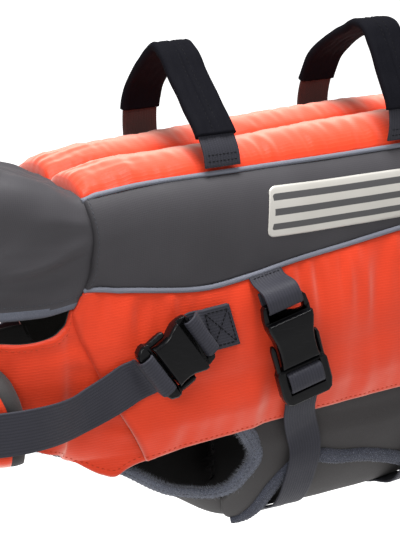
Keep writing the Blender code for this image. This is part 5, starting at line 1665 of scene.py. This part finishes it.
# %% Foam rubber grips
def make_grip(name, x, line, span):
    first, last = (int(round(share * GRIP_PARTS)) for share in span)
    points, across, up, run = resampled(handle_frames(x, line, GRIP_PARTS)[first:last + 1], 0.0014)
    width, thick = WEBBING_WIDTH + 0.001 + SLEEVE_THICKNESS * 1.2, WEBBING + 2 * GAP + 2 * SLEEVE_THICKNESS
    outer, inner = flat_section(width, thick, 22), flat_section(WEBBING_WIDTH + 0.0008, WEBBING + GAP, 22)
    outer[:, 1] -= (thick - WEBBING) / 2
    inner[:, 1] -= GAP / 2
    offsets = np.broadcast_to(outer, (len(points), *outer.shape)).copy()
    groove = 0.0008 * np.exp(-((outer[:, 0] / 0.0011) ** 2)) * (outer[:, 1] > 0.002)
    lips = 0.0004 * np.exp(-(np.minimum(run, run[-1] - run) / 0.0022) ** 2)
    lumps = lumps_on(run, len(outer), 0.012, 0.35, x * 90)
    grow = 1 + (0.0007 * lumps + lips[:, None]) / (thick / 2) * 0.8
    offsets[..., 1] = (offsets[..., 1] - WEBBING / 2) * grow + WEBBING / 2 - groove
    offsets[..., 0] *= 1 + 0.018 * lumps
    walls = [placed(points, across, up, face).reshape(-1, 3) for face in (offsets, inner[None])]
    index, nxt, skin = ring_faces(len(points), len(outer))
    shift = index.size
    mouths = [np.stack([index[k], nxt[k], nxt[k] + shift, index[k] + shift], axis=-1) for k in (0, -1)]
    faces = np.concatenate([skin, skin[:, ::-1] + shift, mouths[0][:, ::-1], mouths[1]])
    uv, under = tube_marks(outer, run, WEBBING / 2)
    piece = keep_mesh(
        f"handle_grip_{name}", np.concatenate(walls), as_faces(faces), GRIP,
        np.concatenate([uv, uv]), np.full(2 * shift, NO_SEAM), np.concatenate([under, under]),
        [f"handle_sleeve_{name}"])
    rise = (thick + WEBBING) / 2 - 0.0001
    return [(points + across * k * 0.0024 + up * rise, up) for k in (-1, 1)]


grip_lines = []
for name, (x, line) in HANDLES.items():
    grip_lines += make_grip(name, x, line, SLEEVE_SPANS[name])
stitches("grip_stitching", grip_lines, BLACK_THREAD, pitch=0.0032, length=0.0024, radius=0.00032)

# %% [markdown]
# ## Where straps meet buckles
# A buckle is placed by the two points where its strap enters and leaves, and everything on it is written in its
# own coordinates: distance from the bar end, and height. The tab goes round one bar and the strap weaves through
# two, so both paths are short tables in those coordinates.

# %% Buckle places and strap tables
# Girth straps: x at the seam, x of the buckle's two ends
GIRTH_STRAPS = {"front": (-0.045, -0.0415, -0.0215), "rear": (0.08, 0.08, 0.088)}
# Their run under the body: distance from the keel, x, height over the body form
STRAP_RUNS = {
    "front": (
        (0.0, -0.0185, 0.0036), (0.014, -0.0148, 0.0036), (0.026, -0.0108, 0.0044), (0.038, -0.0096, 0.0094),
        (0.048, -0.0098, 0.0106), (0.066, -0.0105, 0.0108), (0.08, -0.0105, 0.0106), (0.092, -0.0105, 0.0084),
        (0.13, -0.0105, 0.008)),
    "rear": (
        (0.0, 0.09, 0.0036), (0.016, 0.09, 0.0038), (0.024, 0.09, 0.0072), (0.032, 0.09, 0.0104),
        (0.045, 0.09, 0.0108), (0.058, 0.09, 0.0106), (0.07, 0.09, 0.0084), (0.13, 0.09, 0.008)),
}
GIRTH_WEBBING = 0.0234
GIRTH_BUCKLE_SCALE = (0.96, 0.93)
GIRTH_BUCKLE_TURN = 7.0
BUCKLE_LENGTH = 0.072
# The share of its length that a girth buckle covers on the body form, as it stands off the form's curve
BUCKLE_COVER = 0.935
# A strap lies this much lower up to this far from the keel, and not at all from twice as far
KEEL_DROP, KEEL_RUN = 0.0009, 0.012
# Strap through the male half, from its tail: distance from the bar end, height of its lower face
MALE_STRAP = (
    (0.0502, -0.0012), (0.0502, 0.002), (0.0501, 0.008), (0.0505, 0.0095), (0.0525, 0.0102), (0.0556, 0.0104),
    (0.0588, 0.0102), (0.0607, 0.0095), (0.0611, 0.008), (0.0611, 0.002), (0.0611, -0.0004), (0.062, -0.0026),
    (0.0645, -0.0036),
)
# Tab round the socket's bar: distance from the bar end, height of its lower face
TAB_LOOP = (
    (-0.0055, 0.0048), (-0.0022, 0.0066), (0.0006, 0.0069), (0.0038, 0.0068), (0.0048, 0.0052), (0.0048, 0.0005),
    (0.003, -0.0016), (-0.002, -0.0028), (-0.006, -0.0031),
)

# Neck strap: wider webbing, a shorter and wider buckle, and the patch that the tab is sewn down in
NECK_WEBBING = 0.027
NECK_BUCKLE_SCALE = (0.64, 1.09)
NECK_BUCKLE_ENDS = ((-0.0955, -0.0918), (-0.1316, -0.116))
NECK_PATCH = ((-0.071, -0.09), (-0.089, -0.0918))
NECK_PATCH_TILT = 14.5
# Distance t round the wrap from the front middle, z, height of the lower face
NECK_STRAP = (
    (-0.133, -0.1165, 0.011), (-0.124, -0.122, 0.0108), (-0.1138, -0.1268, 0.0108), (-0.105, -0.1292, 0.0112),
    (-0.0974, -0.13, 0.013), (-0.089, -0.1305, 0.0172), (-0.081, -0.13, 0.023), (-0.073, -0.129, 0.029),
    (-0.0643, -0.128, 0.034), (-0.0534, -0.129, 0.0354), (-0.03, -0.1305, 0.0348), (0.03, -0.1305, 0.0348),
    (0.0534, -0.129, 0.0354), (0.0643, -0.128, 0.034), (0.073, -0.1285, 0.029), (0.081, -0.1285, 0.023),
    (0.089, -0.128, 0.0165), (0.0974, -0.126, 0.013), (0.1138, -0.1215, 0.011), (0.129, -0.115, 0.0112),
    (0.15, -0.105, 0.0112), (0.17, -0.0975, 0.0112), (0.185, -0.0935, 0.011), (0.1985, -0.0915, 0.0105),
)


def buckle_matrix(start, end, outward_hint, scale=(1.0, 1.0)):
    """Placement of a buckle whose bar end is at start and whose strap leaves it at end."""
    along = Vector(end - start).normalized()
    up = Vector(outward_hint)
    up = (up - along * up.dot(along)).normalized()
    across = up.cross(along)
    basis = Matrix((along * scale[0], across * scale[1], up)).transposed().to_4x4()
    return Matrix.Translation(Vector(start)) @ basis


def buckle_path(matrix, rows):
    """Frames of webbing that follows a buckle: rows of (distance along, height of its lower face)."""
    points = [np.array(matrix @ Vector((a, 0.0, h))) for a, h in rows]
    across = np.array((matrix.to_3x3() @ Vector((0, 1, 0))).normalized())
    found = []
    for i, point in enumerate(points):
        ahead = points[min(i + 1, len(points) - 1)] - points[max(i - 1, 0)]
        ahead /= norm(ahead)
        found.append((point, across, np.cross(ahead, across)))
    return found


def facing(path, across):
    """The same frames, turned so that their across vectors run this way."""
    return [(p, a if np.dot(a, across) > 0 else -a, u) for p, a, u in path]


def strap_place(run, x, s):
    """x and height of a girth strap at this distance down the body, from the flap round to the keel."""
    under_x, on_wing = read(run, girth(x) / 2 - s)
    edge = read(FLAP_EDGE, x)
    on_flap = max(flap_outer(x + step, min(s, edge)) for step in (-0.0125, 0.0, 0.0125)) + 7 * GAP
    return under_x, on_flap + (on_wing - on_flap) * smooth((s - edge + 0.002) / 0.016)


def flank_place(x, z):
    """A place of the left side at this height: x, s and the height of the flap's outer face there."""
    s = side_distance(x, z)
    return x, -s, flap_outer(x, s)

# %% [markdown]
# ## Girth straps
# A girth strap leaves the male half of its buckle, drops over the flap's hem, lies across the belly band and comes
# up on the far side. The tab above the buckle is sewn into the lower seam. Straps are modelled directly as swept
# webbing, because webbing under load neither stretches nor wrinkles.

# %% Girth straps and tabs
def girth_paths(name, seam_x, start_x, end_x):
    top_s = read(LOWER_SEAM, seam_x)
    start_s = top_s + 0.015
    end_s = start_s + BUCKLE_LENGTH * GIRTH_BUCKLE_SCALE[0] * BUCKLE_COVER
    rest = max(flap_outer(start_x, start_s), flap_outer(end_x, end_s), flap_outer(end_x, (start_s + end_s) / 2))
    rest += 2 * WEBBING + 4 * GAP + 0.0006
    start = raised(body, start_x, -start_s, rest)
    end = raised(body, end_x, -end_s, rest + 0.002)
    _, hint = stood_off(body, end_x, -(start_s + end_s) / 2, 0.0, 0.02)
    hint[0] -= tan(radians(GIRTH_BUCKLE_TURN)) * 0.02
    matrix = buckle_matrix(start, end, hint, GIRTH_BUCKLE_SCALE)
    return girth_tab_path(seam_x, top_s, matrix), girth_strap_path(name, end_x, end_s, matrix), matrix


def girth_tab_path(seam_x, top_s, matrix):
    loop = buckle_path(matrix, TAB_LOOP)
    root_s = top_s + 0.003
    root = raised(body, seam_x, -root_s, flap_outer(seam_x, root_s) + WEBBING + 2 * GAP)
    ahead, behind = (body(x, -read(LOWER_SEAM, x)) for x in (seam_x + 0.01, seam_x - 0.01))
    seam = ahead - behind
    seam *= copysign(1, np.dot(seam, loop[0][1])) / norm(seam)
    _, up = stood_off(body, seam_x, -root_s, 0.0, 0.01)
    up /= norm(up)
    tucked = raised(body, seam_x, -top_s + 0.0015, flap_outer(seam_x, top_s) * 0.5)
    return [(tucked, seam, up), (root, seam, up)] + loop


def girth_strap_path(name, end_x, end_s, matrix):
    loop = buckle_path(matrix, MALE_STRAP)
    run = STRAP_RUNS[name]
    far_x = run[-1][1]
    half = girth(far_x) / 2
    start_s = end_s + 0.006
    rows = []
    for share in np.linspace(0, 1, 61):
        s = start_s + (2 * half - read(LOWER_SEAM, far_x) - 0.0045 - start_s) * share
        under_x, height = strap_place(run, far_x, s if s <= half else 2 * half - s)
        height -= KEEL_DROP * (1 - fade(abs(s - half), KEEL_RUN, KEEL_RUN))
        rows.append((end_x + (under_x - end_x) * smooth(share / 0.12), s, height))
    return loop + facing(body_strap(rows, -1, 56), loop[0][1])


def make_strap(name, path, width, node):
    piece, length = swept(name, path, flat_section(width, WEBBING), WEB, [node], step=0.0012)
    print(f"{name}: {length * 1000:.0f} mm of {width * 1000:.1f} mm webbing")


strap_lines = []
for name, places in GIRTH_STRAPS.items():
    tab, strap, matrix = girth_paths(name, *places)
    make_strap(f"girth_tab_webbing_{name}", tab, GIRTH_WEBBING, f"girth_tab_{name}")
    make_strap(
        f"girth_strap_webbing_{name}", strap, GIRTH_WEBBING, f"girth_strap_{name}")
    strap_lines += cross_rows(tab, 0.0012, (2, 4), GIRTH_WEBBING) + cross_rows(strap, 0.0012, (-3, -6), GIRTH_WEBBING)

# %% [markdown]
# ## Neck strap
# The neck strap is wider. Its tab is folded round the socket's bar and sewn flat on the flap, with the square and
# cross that hold a load in every direction. The strap itself runs over the float and round to the far flap.

# %% Neck strap and its box stitch
def neck_matrix():
    (start_x, start_z), (end_x, end_z) = NECK_BUCKLE_ENDS
    places = [flank_place(start_x, start_z), flank_place(end_x, end_z)]
    rest = max(p[2] for p in places) + 2 * WEBBING + 4 * GAP + 0.0006
    start, end = (raised(body, x, s, rest) for x, s, _ in places)
    middle = ((start_x + end_x) / 2, (places[0][1] + places[1][1]) / 2)
    _, hint = stood_off(body, *middle, 0.0, 0.02)
    return buckle_matrix(start, end, hint, NECK_BUCKLE_SCALE)


def neck_tab_path(matrix):
    loop = buckle_path(matrix, TAB_LOOP)
    layers = []
    for lift in (0.001 + WEBBING + GAP, 0.001):
        line = []
        for share in (0.0, 0.33, 0.66, 1.0):
            x, s, height = flank_place(*(mix(a, b, share) for a, b in zip(*NECK_PATCH)))
            here, up = stood_off(body, x, s, height + lift)
            tilt = radians(NECK_PATCH_TILT)
            across = np.array([sin(tilt), 0.0, -cos(tilt)])
            across -= up * np.dot(up, across) / np.dot(up, up)
            across *= copysign(1, np.dot(across, loop[0][1])) / norm(across)
            line.append((here, across, up / norm(up)))
        layers.append(line)
    lower = [(p, a, -u) for p, a, u in reversed([(q + v * WEBBING, b, v) for q, b, v in layers[1]])]
    return layers[0] + loop[:-1] + lower, layers[0]


def neck_strap_path(matrix):
    loop = buckle_path(matrix, MALE_STRAP)
    rows = [np.concatenate(stood_off(wrap_down, z, t, height)) for t, z, height in trace(NECK_STRAP, 52)]
    rows = eased(np.array(rows), 4)
    return loop + facing(frames(rows[:, :3], rows[:, 3:]), loop[0][1])


matrix = neck_matrix()
tab, patch_rows = neck_tab_path(matrix)
make_strap("neck_tab_webbing", tab, NECK_WEBBING, "neck_tab")
make_strap("neck_strap_webbing", neck_strap_path(matrix), NECK_WEBBING, "neck_strap")


def box_stitch(rows, width):
    """A square with a cross, on the top layer of the folded tab."""
    (start, start_across, _), (end, end_across, _), up = rows[0], rows[-1], rows[1][2]
    corners = []
    for share, k in ((0.1, -0.4), (0.92, -0.4), (0.92, 0.4), (0.1, 0.4)):
        across = mix(start_across, end_across, share)
        corners.append(mix(start, end, share) + across * k * width + up * (WEBBING + 0.0003))
    a, b, c, d = corners
    ups = np.repeat(up[None], 8, axis=0)
    return [(np.linspace(p, q, 8), ups) for p, q in ((a, b), (b, c), (c, d), (d, a), (a, c), (b, d))]


strap_lines += box_stitch(patch_rows, NECK_WEBBING)
stitches("strap_stitching", strap_lines, BLACK_THREAD, pitch=0.0028, length=0.0022, radius=0.00036)

# %% [markdown]
# ## Buckles
# The moulded halves already have their real shape, bars and slots. What a plain solid lacks is the small round on
# every edge that makes plastic look moulded, because it is the edge that catches the light. So each one is copied,
# its loose triangles are merged back into flat faces, and a bevel rounds its edges.

# %% Moulded edges
def moulded(node_name):
    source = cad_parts[node_name]
    bpy.ops.object.select_all(action="DESELECT")
    copy = source.copy()
    copy.data = source.data.copy()
    copy.parent = None
    for key in list(copy.keys()):
        del copy[key]
    copy.name = copy.data.name = node_name + "_moulded"
    bpy.context.scene.collection.objects.link(copy)
    bpy.context.view_layer.objects.active = copy
    copy.select_set(True)
    bpy.ops.object.mode_set(mode="EDIT")
    bpy.ops.mesh.select_all(action="SELECT")
    bpy.ops.mesh.remove_doubles(threshold=0.00002)
    bpy.ops.mesh.dissolve_limited(angle_limit=radians(3))
    bpy.ops.object.mode_set(mode="OBJECT")
    bevel = copy.modifiers.new("moulded edge", "BEVEL")
    bevel.width, bevel.segments, bevel.limit_method, bevel.angle_limit = 0.0006, 3, "ANGLE", radians(25)
    bevel.use_clamp_overlap = True
    bpy.ops.object.modifier_apply(modifier=bevel.name)
    bpy.ops.object.shade_smooth_by_angle(angle=radians(38))
    copy.data.materials.clear()
    copy.data.materials.append(ACETAL)
    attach(copy, "root")
    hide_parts(node_name)
    copy.hide_render = copy.hide_viewport = False
    print(f"{copy.name}: {len(copy.data.polygons)} faces")


for node_name in [n for n in sorted(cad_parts) if "buckle" in n]:
    moulded(node_name)

# %% [markdown]
# ## Silver patch
# A plain patch of reflective film sits on each grey panel, with dark stripes and nothing else on it. It is a thin
# sheet with rounded corners that follows the panel's own height.

# %% Reflective patches
PATCH_MIDDLE = (0.0103, 0.0733)
PATCH_SIZE = (0.104, 0.029)
PATCH_CORNER = 0.005
# How much its long edges slope along x, and how much its short edges lean
PATCH_SLOPE, PATCH_SKEW = 0.02, -0.12


def make_patch(name, side):
    half, tall = PATCH_SIZE[0] / 2, PATCH_SIZE[1] / 2
    columns, rows = counts(*PATCH_SIZE)
    columns *= 2
    places = []
    for a in half * (2 * steps(columns) - 1):
        past = max(abs(a) - (half - PATCH_CORNER), 0.0)
        reach = tall - PATCH_CORNER + sqrt(max(PATCH_CORNER**2 - past**2, 1e-9))
        middle_s = PATCH_MIDDLE[1] + PATCH_SLOPE * a
        places.append([
            (PATCH_MIDDLE[0] + a + PATCH_SKEW * reach * w, middle_s + reach * w) for w in 2 * steps(rows) - 1])
    base, x, s = laid(half_form(side), places)
    low = height_of(lambda a, b: panel_height(a, b, side), places) + 0.0003
    uv = (x - PATCH_MIDDLE[0], s - PATCH_MIDDLE[1] - PATCH_SLOPE * (x - PATCH_MIDDLE[0]))
    piece = cloth_piece(
        f"silver_patch_{name}", base, low, low + 0.00045, SILVER, [], turn=0.0005, uv=uv)
    declared_sheet(piece, base, PATCH_SIZE)


for name, side in SIDES:
    make_patch(name, side)

# %% [markdown]
# ## Camera, light and floor
# The camera is a little over a metre away with a long lens, on the wearer's left, towards the front and a little
# above the jacket. Light is high and soft, like a product table: a white world, one broad lamp overhead and a
# weaker one at the front. The floor lies well below, so no shadow cuts the cloth's outline.

# %% Camera
CAMERA_PLACE = (-0.6298, -0.9605, 0.2619)
CAMERA_TURN = (73.3, 0.0, -31.0)
CAMERA_LENS, SENSOR_WIDTH = 123.83, 36.0


def make_camera():
    data = bpy.data.cameras.new("camera")
    data.lens, data.sensor_width = CAMERA_LENS, SENSOR_WIDTH
    data.clip_start, data.clip_end = 0.05, 60.0
    made = bpy.data.objects.new("camera", data)
    made.location = CAMERA_PLACE
    made.rotation_euler = [radians(v) for v in CAMERA_TURN]
    bpy.context.scene.collection.objects.link(made)
    bpy.context.scene.camera = made


make_camera()

# %% Floor, world and lamps
FLOOR_SIZE, FLOOR_Z = 40, -1.2
PAPER_DARK, PAPER_LIGHT = (0.86, 0.86, 0.86, 1), (0.9, 0.9, 0.9, 1)
# The paper's own light on the jacket, what the camera sees on top of it, and the white world's strength
PAPER_GLOW, PAPER_SEEN = 0.42, 0.5
WORLD_STRENGTH = 0.44
LAMP_AIM = (0, 0, -0.1)


def make_lamp(name, place, size, watts):
    data = bpy.data.lights.new(name, "AREA")
    data.shape, data.size, data.energy = "DISK", size, watts
    made = bpy.data.objects.new(name, data)
    made.location = place
    made.rotation_euler = (Vector(LAMP_AIM) - Vector(place)).to_track_quat("-Z", "Y").to_euler()
    bpy.context.scene.collection.objects.link(made)


def make_floor():
    bpy.ops.object.select_all(action="DESELECT")
    bpy.ops.mesh.primitive_plane_add(size=FLOOR_SIZE, location=(0, 0, FLOOR_Z))
    floor = bpy.context.object
    floor.name = "floor"
    paper = bpy.data.materials.new("white paper")
    paper.use_nodes = True
    tree = paper.node_tree
    shader = tree.nodes["Principled BSDF"]
    grain = add(tree, "TexNoise", {"Scale": 300.0}).outputs[0]
    plug(tree, shader.inputs["Base Color"], blend_colour(tree, grain, PAPER_DARK, PAPER_LIGHT))
    shader.inputs["Roughness"].default_value = 0.9
    shader.inputs["Emission Color"].default_value = (1, 1, 1, 1)
    seen = sums(tree, "MULTIPLY", add(tree, "LightPath").outputs["Is Camera Ray"], PAPER_SEEN)
    plug(tree, shader.inputs["Emission Strength"], sums(tree, "ADD", PAPER_GLOW, seen))
    floor.data.materials.append(paper)
    floor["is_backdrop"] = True


def make_light():
    world = bpy.data.worlds.new("white room")
    bpy.context.scene.world = world
    world.use_nodes = True
    sky = world.node_tree.nodes["Background"].inputs
    sky["Color"].default_value, sky["Strength"].default_value = (1, 1, 1, 1), WORLD_STRENGTH
    make_lamp("overhead", (-0.1, -0.1, 1.4), 0.8, 40.0)
    make_lamp("front", (-1.3, -1.1, 0.8), 0.7, 10.0)
    bpy.context.scene.view_settings.view_transform = "Standard"


make_floor()
make_light()

# %% [markdown]
# ## The two boxes
# The frame's box and the dressed jacket's box are both printed. The dressed jacket has to stay within the
# frame's box and the small amount that cloth may stand proud of it.

# %% Sizes and finish
low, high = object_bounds()
for label, size in (("box of the frame:", cad_high - cad_low), ("dressed:", high - low)):
    print(label, [round(v * 1000, 1) for v in size], "mm")
